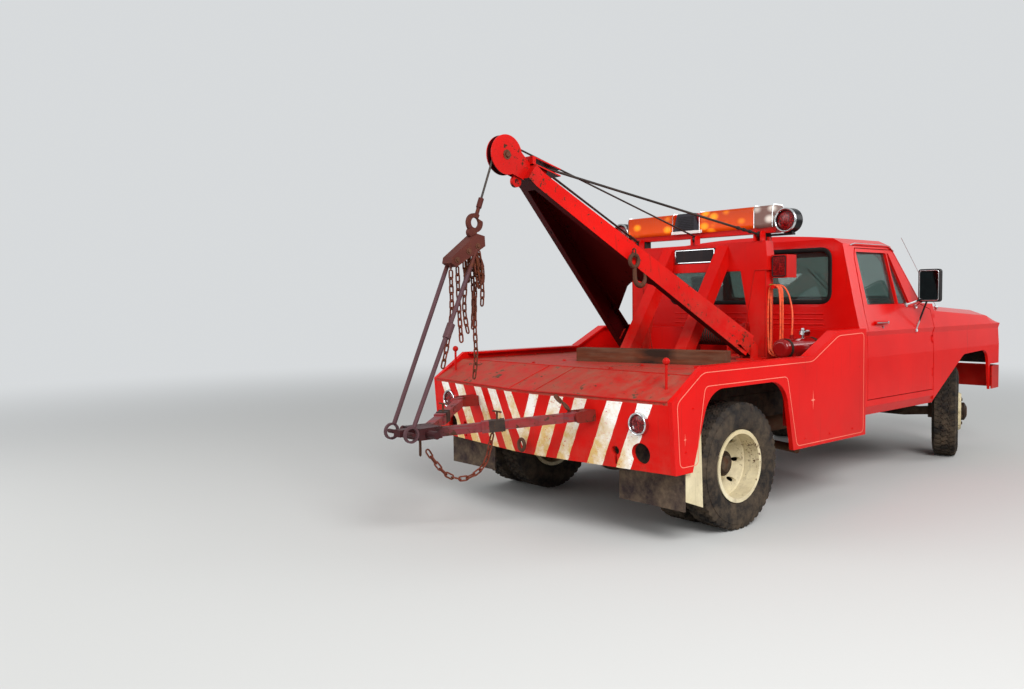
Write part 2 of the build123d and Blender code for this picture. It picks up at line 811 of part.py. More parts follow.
# Winch behind the mast: end plates, drum with its wound line, and a round gear case
winch_station = 1130
winch_z = 1130
with BuildPart() as winch:
    for plate_y in (210, -198):
        with BuildSketch(side_plane(plate_y)):
            with Locations((winch_station, winch_z)):
                Circle(112)
            with Locations((winch_station, (winch_z + post_foot_z) / 2)):
                Rectangle(200, winch_z - post_foot_z)
        extrude(amount=12)
    with BuildSketch(side_plane(200)):
        with Locations((winch_station, winch_z)):
            Circle(72)
    extrude(amount=400)
    with BuildSketch(side_plane(-208)):
        with Locations((winch_station - 4, winch_z - 10)):
            Circle(96)
    extrude(amount=110)
    chamfer(winch.edges().group_by(Axis.Y)[0].filter_by(GeomType.CIRCLE), 18)
    with BuildSketch(level_plane(post_foot_z)):
        with Locations((winch_station, -40)):
            Rectangle(230, 540)
    extrude(amount=14)
save(winch, "winch")

# Boom: two deep channel legs meeting at a neck, sheave cheeks, eye and the stays' block
boom_angle = math.atan2(neck_z - boom_foot_z, boom_foot_station - neck_station)
boom_along = Vector(-math.cos(boom_angle), 0, math.sin(boom_angle))
boom_up = Vector(math.sin(boom_angle), 0, math.cos(boom_angle))
foot_point = point(boom_foot_station, 0, boom_foot_z)
neck_point = point(neck_station, 0, neck_z)
leg_start = 40
block_front = -555
block_rear = -795
block_half = 56
block_slot = 34
block_plate = 8
stay_slope = 0.253


def stay_height(station):
    """Height of the stays' line at a station."""
    return stay_axis_z + (stay_axis_station - station) * stay_slope


with BuildPart() as boom:
    for side, sign in sides:
        for origin, outer, depth in ((foot_point + boom_along * leg_start, leg_foot_outer, leg_foot_depth),
                                     (neck_point, leg_neck_outer, leg_neck_depth)):
            with BuildSketch(Plane(origin, x_dir=(0, -1, 0), z_dir=boom_along)):
                with BuildLine():
                    Polyline((-sign * outer, -depth / 2), (-sign * outer, depth / 2),
                             (-sign * (outer - leg_flange), depth / 2),
                             (-sign * (outer - leg_flange), depth / 2 - leg_wall),
                             (-sign * (outer - leg_wall), depth / 2 - leg_wall),
                             (-sign * (outer - leg_wall), leg_wall - depth / 2),
                             (-sign * (outer - leg_flange), leg_wall - depth / 2),
                             (-sign * (outer - leg_flange), -depth / 2), close=True)
                make_face()
        loft(ruled=True)
        # Rounded foot bored for its pin
        foot_outer = sign * leg_foot_outer
        with BuildSketch(side_plane(max(foot_outer, foot_outer - sign * leg_flange))):
            with Locations((boom_foot_station, boom_foot_z)):
                Circle(56)
            with Locations(Location((boom_foot_station, boom_foot_z, 0), (0, 0, 180 - math.degrees(boom_angle)))):
                with Locations((70, 0)):
                    Rectangle(140, 110)
        extrude(amount=leg_flange)
    with BuildSketch(Plane(neck_point - boom_along * 30, x_dir=(0, -1, 0), z_dir=boom_along)):
        Rectangle(2 * leg_neck_outer, leg_neck_depth)
    extrude(amount=110)
    for side, sign in sides:
        inner = sign * cheek_gap / 2
        with BuildSketch(side_plane(max(inner, inner + sign * cheek_thickness))):
            with Locations((sheave_station, sheave_z)):
                Circle(cheek_radius)
            with BuildLine():
                neck_top = neck_point + boom_along * 60 + boom_up * (leg_neck_depth / 2)
                neck_low = neck_point + boom_along * 60 - boom_up * (leg_neck_depth / 2)
                Polyline((neck_top.X - rear_axle_x, neck_top.Z), (sheave_station + 40, sheave_z + 100),
                         (sheave_station, sheave_z), (sheave_station + 30, sheave_z - 110),
                         (neck_low.X - rear_axle_x, neck_low.Z), close=True)
            make_face()
        extrude(amount=cheek_thickness)
    with BuildSketch(side_plane(cheek_gap / 2 + 2)):
        with Locations((sheave_station, sheave_z)):
            Circle(sheave_pin_radius)
    extrude(amount=cheek_gap + 4)
    # Eye under the head
    with BuildSketch(side_plane(12)):
        with Locations((-890, 2150)):
            Circle(36)
            Circle(16, mode=Mode.SUBTRACT)
        with BuildLine():
            Polyline((-868, 2174), (-790, 2172), (-815, 2232), (-890, 2238), (-912, 2176), close=True)
        make_face()
    extrude(amount=24)
    # Flat clevis for the stays, open to the front and to both sides, on a gusset over the neck
    with BuildSketch(side_plane(block_half)):
        with BuildLine():
            Polyline(*[(station, stay_height(station) + rise) for station, rise in (
                (block_front, -block_slot / 2 - block_plate), (block_front, -block_slot / 2),
                (block_rear + 25, -block_slot / 2), (block_rear + 25, block_slot / 2),
                (block_front, block_slot / 2), (block_front, block_slot / 2 + block_plate),
                (block_rear, block_slot / 2 + block_plate), (block_rear, -block_slot / 2 - block_plate))],
                close=True)
        make_face()
    extrude(amount=2 * block_half)
    with BuildSketch(side_plane(24)):
        with BuildLine():
            Polyline((block_rear, stay_height(block_rear) - 22), (-640, stay_height(-640) - 22),
                     (-700, 2180), (-780, 2235), close=True)
        make_face()
    extrude(amount=48)
    # Bores for the foot pins
    for side, sign in sides:
        foot_outer = sign * leg_foot_outer
        with BuildSketch(side_plane(max(foot_outer, foot_outer - sign * leg_flange) + 1)):
            with Locations((boom_foot_station, boom_foot_z)):
                Circle(boom_pin_radius + running_fit)
        extrude(amount=leg_flange + 2, mode=Mode.SUBTRACT)
save(boom, "boom")

# Sheave in the boom's head, on its pin
sheave_lip = sheave_radius + 10
with BuildPart() as sheave:
    with BuildSketch(cross_plane(sheave_station)):
        with BuildLine():
            Polyline((-sheave_width / 2, sheave_z + sheave_pin_radius + seat_gap),
                     (-sheave_width / 2, sheave_z + sheave_lip), (-line_radius - 2, sheave_z + sheave_lip),
                     (-line_radius, sheave_z + sheave_radius), (line_radius, sheave_z + sheave_radius),
                     (line_radius + 2, sheave_z + sheave_lip), (sheave_width / 2, sheave_z + sheave_lip),
                     (sheave_width / 2, sheave_z + sheave_pin_radius + seat_gap), close=True)
        make_face()
    revolve(axis=Axis(point(sheave_station, 0, sheave_z), (0, 1, 0)))
save(sheave, "sheave")

# Topping stays from the crosshead to the boom's clevis, and the hoist line to the top of the sheave
stay_end = -642
stay_end_half = 20
stay_radius = 8
eye_radius = 23
line_rise = sheave_radius + line_radius + 4
round_start = (Align.CENTER, Align.CENTER, Align.MIN)
with BuildPart() as stays:
    for side, sign in sides:
        with BuildSketch(side_plane(sign * stay_y + 9)):
            with Locations((stay_axis_station, stay_axis_z)):
                Circle(eye_radius)
        extrude(amount=18)
        start = point(stay_axis_station, sign * stay_y, stay_axis_z)
        end = point(stay_end, sign * stay_end_half, stay_height(stay_end))
        with Locations(Plane(start, z_dir=end - start).location):
            Cylinder(stay_radius, (end - start).length, align=round_start)
    with BuildSketch(side_plane(9)):
        with Locations((stay_axis_station, stay_axis_z)):
            Circle(eye_radius)
    extrude(amount=18)
    start = point(stay_axis_station, 0, stay_axis_z + 17)
    line_angle = math.atan2(sheave_z + line_rise - stay_axis_z - 17, stay_axis_station - sheave_station)
    end = point(sheave_station + line_rise * math.sin(line_angle), 0, sheave_z + line_rise * math.cos(line_angle))
    with Locations(Plane(start, z_dir=end - start).location):
        Cylinder(line_radius, (end - start).length, align=round_start)
    for middle in (stay_y, 0, -stay_y):
        with BuildSketch(side_plane(middle + 20)):
            with Locations((stay_axis_station, stay_axis_z)):
                Circle(stay_pin_radius + running_fit)
        extrude(amount=40, mode=Mode.SUBTRACT)
save(stays, "stays")


def chain(route, first_turn):
    """Flat links one after another along a route of points, every second one turned a quarter."""
    path = Spline(*route)
    count = int(path.length / chain_pitch)
    links = []
    for number in range(count):
        start = path.position_at(number * chain_pitch, position_mode=PositionMode.LENGTH)
        end = path.position_at((number + 1) * chain_pitch, position_mode=PositionMode.LENGTH)
        across = Vector(0, 1, 0) if (number + first_turn) % 2 else Vector(0, 1, 0).cross(end - start)
        links.append(link_at(Plane((start + end) / 2, x_dir=(end - start).normalized(), z_dir=across)))
    return links


def link_at(plane):
    """One flat link in a plane, its long side along X."""
    length = chain_pitch + 1 + 2 * chain_wire
    with BuildPart() as link:
        with BuildSketch(plane.offset(-chain_wire / 2)):
            Rectangle(length, chain_width)
            Rectangle(chain_pitch + 1, chain_width - 2 * chain_wire, mode=Mode.SUBTRACT)
        extrude(amount=chain_wire)
    return link.part


sling_chain_routes = (
    # points from top to bottom: station, y, height
    ((-1214, 0, 1695), (-1228, 0, 1300), (-1222, 0, 1080), (-1246, 0, 900)),
    ((-1262, 26, 1660), (-1263, 26, 1600), (-1290, 20, 1370), (-1262, 12, 1180)),
    ((-1345, 10, 1612), (-1340, 6, 1370), (-1328, 0, 1150)),
    ((-1408, -10, 1590), (-1410, -8, 1300), (-1484, 0, 970)),
)
tow_chain_route = ((-1300, -244, 640), (-1345, -225, 470), (-1440, -170, 392), (-1540, -120, 420), (-1612, -80, 520),
                   (-1650, -62, 590))
stud_radius = 8

# Sling: hoist line off the sheave, hook, ring, spreader plates and the two bars down to the tow bar
with BuildPart() as sling:
    # Line round the back of the sheave and down to the hook
    sheave_axis = Axis(point(sheave_station, 0, sheave_z), (0, 1, 0))
    fall = Vector(-0.354, 0, -0.935)
    back = Vector(-0.935, 0, 0.354)
    fall_start = point(sheave_station, 0, sheave_z) + back * (sheave_radius + line_radius + 1)
    with BuildSketch(Plane(fall_start, x_dir=back, z_dir=fall)):
        Circle(line_radius)
    revolve(axis=sheave_axis, revolution_arc=-34)
    with Locations(Plane(fall_start, z_dir=fall).location):
        Cylinder(line_radius, 340, align=round_start)
    # Swivel, hook shank and an open hook
    swivel = fall_start + fall * 325
    with Locations(Plane(swivel, z_dir=fall).location):
        Cylinder(17, 60, align=round_start)
    shank = swivel + fall * 55
    with Locations(Plane(shank, z_dir=fall).location):
        Cylinder(12, 60, align=round_start)
    hook_middle = shank + fall * 104
    with BuildSketch(Plane(hook_middle, x_dir=(1, 0, 0), z_dir=(0, -1, 0)).offset(-11)):
        Circle(58)
        Circle(32, mode=Mode.SUBTRACT)
        with Locations((52, 34)):
            Rectangle(44, 40, rotation=-25, mode=Mode.SUBTRACT)
    extrude(amount=22)
    # Ring through the hook, spreader plates hung from it
    ring_middle = hook_middle + fall * 62
    with BuildSketch(Plane(ring_middle, x_dir=(1, 0, 0), z_dir=(0, -1, 0)).offset(-16)):
        Circle(30)
    extrude(amount=32)
    with BuildSketch(side_plane(46)):
        with BuildLine():
            Polyline((spreader_front + 26, spreader_front_z + 34), (spreader_front + 30, spreader_front_z - 26),
                     (spreader_rear + 10, spreader_rear_z - 34), (spreader_rear - 30, spreader_rear_z - 10),
                     (spreader_rear - 22, spreader_rear_z + 24), (spreader_front - 30, spreader_front_z + 46),
                     close=True)
        make_face()
    extrude(amount=92)
    # Studs that the chains hang from
    for route in sling_chain_routes:
        station, y, height = route[0]
        with BuildSketch(level_plane(height + chain_wire + 1.3)):
            with Locations((station, y)):
                Circle(stud_radius)
        extrude(amount=44)
    # Bars down to the tow bar's cross-pin, each ending in an eye
    for top, foot in ((point(-1226, -35, 1735), point(sling_foot_station, -sling_foot_half, sling_foot_z)),
                      (point(-1392, 35, 1640), point(sling_foot_station, sling_foot_half, sling_foot_z))):
        run = foot - top
        reach = run.length - sling_eye_outer + 4
        with Locations(Plane(top, z_dir=run).location):
            Cylinder(13, reach, align=round_start)
        with BuildSketch(side_plane(foot.Y + 9)):
            with Locations((sling_foot_station, sling_foot_z)):
                Circle(sling_eye_outer)
                Circle(sling_eye_inner, mode=Mode.SUBTRACT)
        extrude(amount=18)
    # Hook blocks along the near bar
    with Locations(Plane(point(-1470, -65, 1240), z_dir=(sling_foot_station + 1226, -65, sling_foot_z - 1735)).location):
        Cylinder(24, 90)
save(sling, "sling")

with BuildPart() as sling_chains:
    for number, route in enumerate(sling_chain_routes):
        add(chain([point(*place) for place in route], number))
save(sling_chains, "sling_chains")

# Tow bar: two box arms to a yoke, cross-shaft, tongue and the cross-pin that the sling holds
sleeve_size = 66
yoke_length = 160
with BuildPart() as tow_bar:
    for side, sign in sides:
        start = point(tow_pivot_station, sign * tow_pivot_half, tow_pivot_z)
        end = point(yoke_station + 20, sign * 62, yoke_z)
        run = end - start
        with BuildSketch(Plane(start + run.normalized() * 62, x_dir=Vector(0, 0, 1).cross(run), z_dir=run)):
            Rectangle(arm_size, arm_size)
        extrude(amount=run.length - 62)
        with BuildSketch(Plane(start + run * 0.58, x_dir=Vector(0, 0, 1).cross(run), z_dir=run)):
            Rectangle(sleeve_size, sleeve_size)
        extrude(amount=90)
        with BuildSketch(side_plane(sign * tow_pivot_half + 24)):
            with Locations((tow_pivot_station, tow_pivot_z)):
                Circle(30)
            with Locations((tow_pivot_station - 36, tow_pivot_z)):
                Rectangle(72, 50)
        extrude(amount=48)
    # Stud under the right sleeve for the loop of chain
    with BuildSketch(level_plane(tow_chain_route[0][2] + chain_wire + 1.3)):
        with Locations(tow_chain_route[0][:2]):
            Circle(stud_radius)
    extrude(amount=24)
    with BuildSketch(level_plane(yoke_z - 34)):
        with Locations((yoke_station - yoke_length / 2 + 20, 0)):
            Rectangle(yoke_length, 2 * yoke_half)
    extrude(amount=68)
    with BuildSketch(side_plane(175)):
        with Locations((-1640, yoke_z)):
            Circle(22)
    extrude(amount=350)
    with BuildSketch(level_plane(sling_foot_z - 20)):
        with Locations(((yoke_station - yoke_length + sling_foot_station) / 2, 0)):
            Rectangle(yoke_station - yoke_length - sling_foot_station + 60, 64)
    extrude(amount=40)
    with BuildSketch(side_plane(128)):
        with Locations((sling_foot_station, sling_foot_z)):
            Circle(sling_pin_radius)
    extrude(amount=256)
    for side, sign in sides:
        with BuildSketch(side_plane(sign * tow_pivot_half + 26)):
            with Locations((tow_pivot_station, tow_pivot_z)):
                Circle(tow_pin_radius + running_fit)
        extrude(amount=52, mode=Mode.SUBTRACT)
save(tow_bar, "tow_bar")

with BuildPart() as tow_chain:
    add(chain([point(*place) for place in tow_chain_route], 0))
save(tow_chain, "tow_chain")

# Light bar over the mast: rail on two posts, a loudspeaker box between the lenses
bar_rear = 936
bar_front = 1006
bar_half = 672
bar_bottom = 1868
bar_top = 1905
lens_top = 2060
lens_rear = 905
lens_front = 1035
with BuildPart() as light_bar:
    with BuildSketch(level_plane(bar_bottom)):
        with Locations(((bar_rear + bar_front) / 2, 0)):
            Rectangle(bar_front - bar_rear, 2 * bar_half)
    extrude(amount=bar_top - bar_bottom)
    with BuildSketch(level_plane(crosshead_top + seat_gap)):
        with Locations((965, 555), (965, -555)):
            Rectangle(30, 30)
    extrude(amount=bar_bottom - crosshead_top)
    with BuildSketch(side_plane(210 - seat_gap)):
        with BuildLine():
            Polyline((lens_rear + 8, bar_top - 4), (lens_front - 8, bar_top - 4), (lens_front - 24, lens_top - 6),
                     (lens_rear + 24, lens_top - 6), close=True)
        make_face()
    extrude(amount=250 - 2 * seat_gap)
save(light_bar, "light_bar")

lens_spans = (
    # from, to across the truck: amber, amber, clear
    (210, 672),
    (-520 + seat_gap, -40),
    (-670, -520),
)
with BuildPart() as light_lenses:
    for low, high in lens_spans:
        with BuildSketch(side_plane(high)):
            with Locations(((lens_rear + lens_front) / 2, (bar_top + lens_top) / 2 + seat_gap)):
                RectangleRounded(lens_front - lens_rear, lens_top - bar_top, 24)
        extrude(amount=high - low)
save(light_lenses, "light_lenses")

# Round lamps on arms at the mast's top, and square work lamps beside its posts
round_lamp_y = 764
round_lamp_z = 1945
round_lamp_radius = 85
work_lamp_inner = 642
work_lamp_outer = 765
with BuildPart() as lamps:
    for side, sign in sides:
        with BuildSketch(level_plane(crosshead_top + seat_gap)):
            with Locations((960, sign * 604)):
                Rectangle(30, 20)
        extrude(amount=46)
        with BuildSketch(level_plane(1845)):
            with Locations((960, sign * 697)):
                Rectangle(36, 206)
        extrude(amount=14)
        with BuildSketch(cross_plane(908)):
            with Locations((sign * round_lamp_y, round_lamp_z)):
                Circle(round_lamp_radius)
        extrude(amount=84)
        with BuildSketch(cross_plane(908)):
            with Locations((sign * round_lamp_y, round_lamp_z)):
                Circle(round_lamp_radius - 14)
        extrude(amount=10, mode=Mode.SUBTRACT)
        with BuildSketch(level_plane(1850)):
            with Locations((960, sign * round_lamp_y)):
                Rectangle(36, 60)
        extrude(amount=30)
        with BuildSketch(level_plane(1550)):
            with Locations((990, sign * (work_lamp_inner + work_lamp_outer) / 2)):
                Rectangle(120, work_lamp_outer - work_lamp_inner)
        extrude(amount=160)
        with BuildSketch(level_plane(1560)):
            with Locations((960, sign * (post_outer + seat_gap + 12))):
                Rectangle(40, 24)
        extrude(amount=40)
save(lamps, "lamps")

# Air tank along the right side of the deck, on two saddles
tank_y = -800
tank_radius = 65
tank_z = post_foot_z + tank_radius + 20
fitting_station = 940
fitting_height = 90
with BuildPart() as air_tank:
    with BuildSketch(cross_plane(790)):
        with Locations((tank_y, tank_z)):
            Circle(tank_radius)
    extrude(amount=450)
    fillet(air_tank.edges(), 24)
    for station in (880, 1130):
        with BuildSketch(cross_plane(station)):
            with Locations((tank_y, post_foot_z + 30)):
                Rectangle(100, 60)
        extrude(amount=30)
    with BuildSketch(level_plane(tank_z)):
        with Locations((fitting_station, tank_y)):
            Circle(14)
    extrude(amount=fitting_height)
save(air_tank, "air_tank")

# Air hose: three turns hung over the peg, then its run down into the tank's fitting
hose_station = 905
hose_shift = 9
hose_bottoms = (1000, 1016, 990)
bend_radius = math.hypot(hank_half_width, hose_shift / 2)


def bend_point(station, lean, middle_z, degrees):
    """A point on a bend of the hank, in degrees from its top, with lean 1 on a top bend and -1 on a bottom one."""
    turn = math.radians(degrees)
    return point(station + lean * hose_shift / 2 * math.sin(turn), peg_y - hank_half_width * math.sin(turn),
                 middle_z + bend_radius * math.cos(turn))


top_middle = hose_top_z - bend_radius
with BuildPart() as hose:
    with BuildLine() as hank:
        ThreePointArc(*[bend_point(hose_station, 1, top_middle, degrees) for degrees in (0, 45, 90)])
        for turn_number, bottom_z in enumerate(hose_bottoms):
            low_station = hose_station + hose_shift * (2 * turn_number + 1)
            top_station = low_station + hose_shift
            low_middle = bottom_z + bend_radius
            Line(hank.line @ 1, bend_point(low_station, -1, low_middle, 90))
            ThreePointArc(*[bend_point(low_station, -1, low_middle, degrees) for degrees in (90, 180, 270)])
            Line(hank.line @ 1, bend_point(top_station, 1, top_middle, -90))
            if bottom_z != hose_bottoms[-1]:
                ThreePointArc(*[bend_point(top_station, 1, top_middle, degrees) for degrees in (-90, 0, 90)])
        ThreePointArc(*[bend_point(top_station, 1, top_middle, degrees) for degrees in (-90, -45, 0)])
        Spline(hank.line @ 1, point(988, -742, 1440), point(962, -796, 1280),
               point(fitting_station, tank_y, tank_z + fitting_height + seat_gap),
               tangents=((hose_shift / 2, -hank_half_width, 0), (0, 0, -1)))
    with BuildSketch(Plane(hank.line @ 0, z_dir=hank.line % 0)):
        Circle(hose_radius)
    sweep()
save(hose, "hose")

# Cab shell: one cross-section run along the truck and trimmed to the side outline, hollow, open below
cab_half_section = ((950, rocker_bottom), (985, 600), (985, 960), (980, 1040), (976, 1120), (belt_half, belt_z),
                    (sill_half, sill_z), (drip_half, drip_z))
inner_half_section = ((985 - cab_wall, floor_z), (985 - cab_wall, 960), (941, 1120), (belt_half - cab_wall, belt_z),
                      (sill_half - cab_wall, sill_z), (drip_half - cab_wall, drip_z - 6))
roof_shoulder = 760
jamb_half = fender_half - fender_skin - seat_gap


def cab_section(station, half_points, shoulder_z, crown_z, inset):
    """The cab's closed cross-section at a station, its roof an arc between two short corner lines."""
    with BuildSketch(cross_plane(station)) as section:
        with BuildLine():
            Polyline((-roof_shoulder + inset, shoulder_z), *[(-y, z) for y, z in reversed(half_points)],
                     *half_points, (roof_shoulder - inset, shoulder_z))
            ThreePointArc((roof_shoulder - inset, shoulder_z), (0, crown_z), (-roof_shoulder + inset, shoulder_z))
        make_face()
    return section.sketch


with BuildPart() as cab_void:
    extrude(cab_section(cab_back + cab_wall, inner_half_section, 1826, roof_top - cab_wall, 30),
            amount=cab_front - cab_back - 2 * cab_wall)
    with BuildSketch(side_plane(1200)):
        with BuildLine():
            Polyline((cab_back + cab_wall, floor_z), (cab_front - cab_wall, floor_z), (cab_front - cab_wall, 1308),
                     (2568, 1318), (2224, 1808), (2180, 1870), (1600, 1870), (cab_back + cab_wall + 8, 1800),
                     close=True)
        make_face()
    extrude(amount=2400, mode=Mode.INTERSECT)

window_half = 748
window_bottom = 1372
window_top = 1765
screen_plane = Plane(point(2600, 0, 1352), x_dir=(0, 1, 0), z_dir=(0.817, 0, 0.5766))
screen_outline = ((-830, 59), (830, 59), (720, 511), (-720, 511))
door_outline = ((door_rear, rocker_z), (door_front, rocker_z), (door_front, 1300), (2590, 1345), (2290, 1775),
                (1700, 1775), (1668, 1700), (door_rear, sill_z))
hinge_station = 2727
hinge_y = 978
hinge_radius = 9
hinge_pin = 5
hinge_heights = (790, 1060)
bonnet_hinge_y = 560
bonnet_hinge_station = 2820
bonnet_hinge_z = 1342
bonnet_hinge_radius = 9
with BuildPart() as cab:
    extrude(cab_section(cab_back, cab_half_section, 1846, roof_top, 0), amount=cab_front - cab_back)
    with BuildSketch(side_plane(1200)):
        with BuildLine():
            Polyline((cab_back, rocker_bottom), (cab_front, rocker_bottom), (cab_front, cowl_z), (2600, 1352),
                     (2245, 1855), (2190, 1900), (1610, 1900), (cab_back + 14, 1840), (cab_back, sill_z), close=True)
        make_face()
    extrude(amount=2400, mode=Mode.INTERSECT)
    add(cab_void.part, mode=Mode.SUBTRACT)
    # Underside open between the rockers, and jambs ahead of the doors set in behind the fenders
    with BuildSketch(level_plane(rocker_bottom - 1)):
        with Locations(((cab_back + cab_front) / 2, 0)):
            Rectangle(cab_front - cab_back + 2, 2 * 935)
    extrude(amount=rail_top + seat_gap - rocker_bottom + 1, mode=Mode.SUBTRACT)
    with BuildSketch(cross_plane(door_front + 3)):
        for side, sign in sides:
            with Locations((sign * (jamb_half + 50), 940)):
                Rectangle(100, 900)
    extrude(amount=cab_front - door_front, mode=Mode.SUBTRACT)
    # Door openings
    for side, sign in sides:
        with BuildSketch(side_plane(sign * 1000)):
            with BuildLine():
                Polyline(*door_outline, close=True)
            make_face()
        extrude(amount=sign * 260, mode=Mode.SUBTRACT)
    # Rear window and windscreen
    with BuildSketch(cross_plane(cab_back - 10)):
        with Locations((0, (window_bottom + window_top) / 2)):
            RectangleRounded(2 * window_half, window_top - window_bottom, 80)
    extrude(amount=cab_wall + 20, mode=Mode.SUBTRACT)
    with BuildSketch(screen_plane.offset(60)) as screen_cut:
        with BuildLine():
            Polyline(*screen_outline, close=True)
        make_face()
        fillet(screen_cut.vertices(), 60)
    extrude(amount=-130, mode=Mode.SUBTRACT)
    # Drip strips over the doors
    for side, sign in sides:
        with BuildSketch(side_plane(max(sign * 832, sign * 852))):
            with Locations((1950, 1799)):
                Rectangle(540, 8)
        extrude(amount=20)
        # Hinge pins and the plates that carry them round the door's front edge
        for height in hinge_heights:
            for shift in (-24, 18):
                with BuildSketch(level_plane(height + shift)):
                    with BuildLine():
                        Polyline((door_front + 4.5, sign * 940), (door_front + 4.5, sign * 961),
                                 (hinge_station + 6, sign * (hinge_y + 6)), (hinge_station - 6, sign * hinge_y),
                                 (door_front - 2, sign * 952), (door_front - 2, sign * 940), close=True)
                    make_face()
                    with Locations((hinge_station, sign * hinge_y)):
                        Circle(hinge_radius)
                extrude(amount=6)
            with BuildSketch(level_plane(height - 24)):
                with Locations((hinge_station, sign * hinge_y)):
                    Circle(hinge_pin)
            extrude(amount=48)
    # Ears and pins for the bonnet's hinges
    for side, sign in sides:
        with BuildSketch(side_plane(sign * bonnet_hinge_y + 4)):
            with Locations((bonnet_hinge_station, bonnet_hinge_z)):
                Circle(bonnet_hinge_radius)
            with Locations(((cab_front + bonnet_hinge_station) / 2 - 2, bonnet_hinge_z - 1)):
                Rectangle(bonnet_hinge_station - cab_front + 4, 16)
        extrude(amount=8)
        with BuildSketch(side_plane(sign * bonnet_hinge_y + 20)):
            with Locations((bonnet_hinge_station, bonnet_hinge_z)):
                Circle(hinge_pin)
        extrude(amount=40)
save(cab, "cab")

# Windscreen and rear window panes
with BuildPart() as windows:
    with BuildSketch(screen_plane.offset(-16)) as screen_pane:
        with BuildLine():
            Polyline(*screen_outline, close=True)
        make_face()
        fillet(screen_pane.vertices(), 60)
        offset(amount=-seat_gap, mode=Mode.REPLACE)
    extrude(amount=6)
    with BuildSketch(cross_plane(cab_back + 14)):
        with Locations((0, (window_bottom + window_top) / 2)):
            RectangleRounded(2 * (window_half - seat_gap), window_top - window_bottom - 2 * seat_gap, 80)
    extrude(amount=6)
save(windows, "windows")

# Doors: whole thickness with the window cut out, hinge knuckles in notches at the front edge, handle
door_front_gap = 9
door_edge = ((door_rear + door_gap, rocker_z + door_gap), (door_front - door_front_gap, rocker_z + door_gap),
             (door_front - door_front_gap, 1296), (2586, 1339), (2287, 1769), (1700 + frame_gap, 1769),
             (1668 + frame_gap, 1700), (door_rear + frame_gap, sill_z + 2), (door_rear + door_gap, sill_z - 8))
door_windows = (
    ((1725, 1350), (2196, 1350), (2178, 1745), (1715, 1745)),
    ((2212, 1350), (2400, 1350), (2215, 1745), (2194, 1745)),
)
door_inner_section = ((985 - door_thickness, rocker_bottom), (985 - door_thickness, 960), (920, 1120),
                      (belt_half - door_thickness, belt_z), (sill_half - door_thickness, sill_z),
                      (drip_half - door_thickness, drip_z))
with BuildPart() as door_core:
    extrude(cab_section(cab_back, door_inner_section, 1846, roof_top, 40), amount=cab_front - cab_back)
for side, sign in sides:
    with BuildPart() as door:
        extrude(cab_section(cab_back, cab_half_section, 1846, roof_top, 0), amount=cab_front - cab_back)
        add(door_core.part, mode=Mode.SUBTRACT)
        with BuildSketch(side_plane(sign * 1100)):
            with BuildLine():
                Polyline(*door_edge, close=True)
            make_face()
        extrude(amount=sign * 400, mode=Mode.INTERSECT)
        for outline in door_windows:
            with BuildSketch(side_plane(sign * 1100)) as opening:
                with BuildLine():
                    Polyline(*outline, close=True)
                make_face()
                fillet(opening.vertices(), 9)
            extrude(amount=sign * 400, mode=Mode.SUBTRACT)
        # Outside handle, its ends on the skin
        with BuildSketch(side_plane(sign * 996)):
            with Locations((1845, 1214)):
                RectangleRounded(170, 24, 10)
        extrude(amount=sign * 30)
        # Notches at the hinges, and the bored knuckles in them
        for height in hinge_heights:
            with BuildSketch(level_plane(height - 30)):
                with Locations((hinge_station + 3, sign * 950)):
                    Rectangle(36, 100)
            extrude(amount=60, mode=Mode.SUBTRACT)
            with BuildSketch(level_plane(height - 17)):
                with Locations((hinge_station, sign * hinge_y)):
                    Circle(hinge_radius)
                with Locations((hinge_station - 10, sign * (hinge_y - 1))):
                    Rectangle(20, 14)
            extrude(amount=34)
            with BuildSketch(level_plane(height - 18)):
                with Locations((hinge_station, sign * hinge_y)):
                    Circle(hinge_pin + running_fit)
            extrude(amount=36, mode=Mode.SUBTRACT)
    save(door, "door_" + side)

# Door glass, leaning in with the window frame
for side, sign in sides:
    with BuildPart() as door_glass:
        lean_plane = Plane(point(0, sign * (sill_half - 26), sill_z), x_dir=(1, 0, 0),
                           z_dir=(0, -0.9747, -sign * 0.2233))
        for outline in door_windows:
            with BuildSketch(lean_plane) as pane:
                with BuildLine():
                    Polyline(*[(station, (z - sill_z) / 0.9747) for station, z in outline], close=True)
                make_face()
                fillet(pane.vertices(), 9)
                offset(amount=-2, mode=Mode.REPLACE)
            extrude(amount=5)
    save(door_glass, "door_glass_" + side)

# Mirrors: a flat head on a tripod of rods, its feet on the door's skin
mirror_head = (2400, 1100, 1490)
mirror_feet = (
    # station, outward, height, height on the head
    (2320, 948, 1340, 1400),
    (2480, 950, 1325, 1400),
    (2427, 981, 1141, 1380),
)
for side, sign in sides:
    with BuildPart() as mirror:
        with BuildSketch(cross_plane(mirror_head[0] - 22)):
            with Locations((sign * mirror_head[1], mirror_head[2])):
                RectangleRounded(165, 255, 22)
        extrude(amount=44)
        for station, outward, height, joint_height in mirror_feet:
            start = point(station, sign * outward, height)
            end = point(mirror_head[0], sign * (mirror_head[1] - 20), joint_height)
            with Locations(Plane(start, z_dir=end - start).location):
                Cylinder(7, (end - start).length, align=round_start)
            with Locations(Plane(start, z_dir=(0, sign, 0.2)).location):
                Cylinder(16, 18, align=(Align.CENTER, Align.CENTER, Align.CENTER))
    with BuildPart() as door_body:
        extrude(cab_section(cab_back, cab_half_section, 1846, roof_top, 0), amount=cab_front - cab_back)
    with BuildPart() as mirror_trimmed:
        add(mirror.part)
        add(door_body.part, mode=Mode.SUBTRACT)
    save(mirror_trimmed, "mirror_" + side)

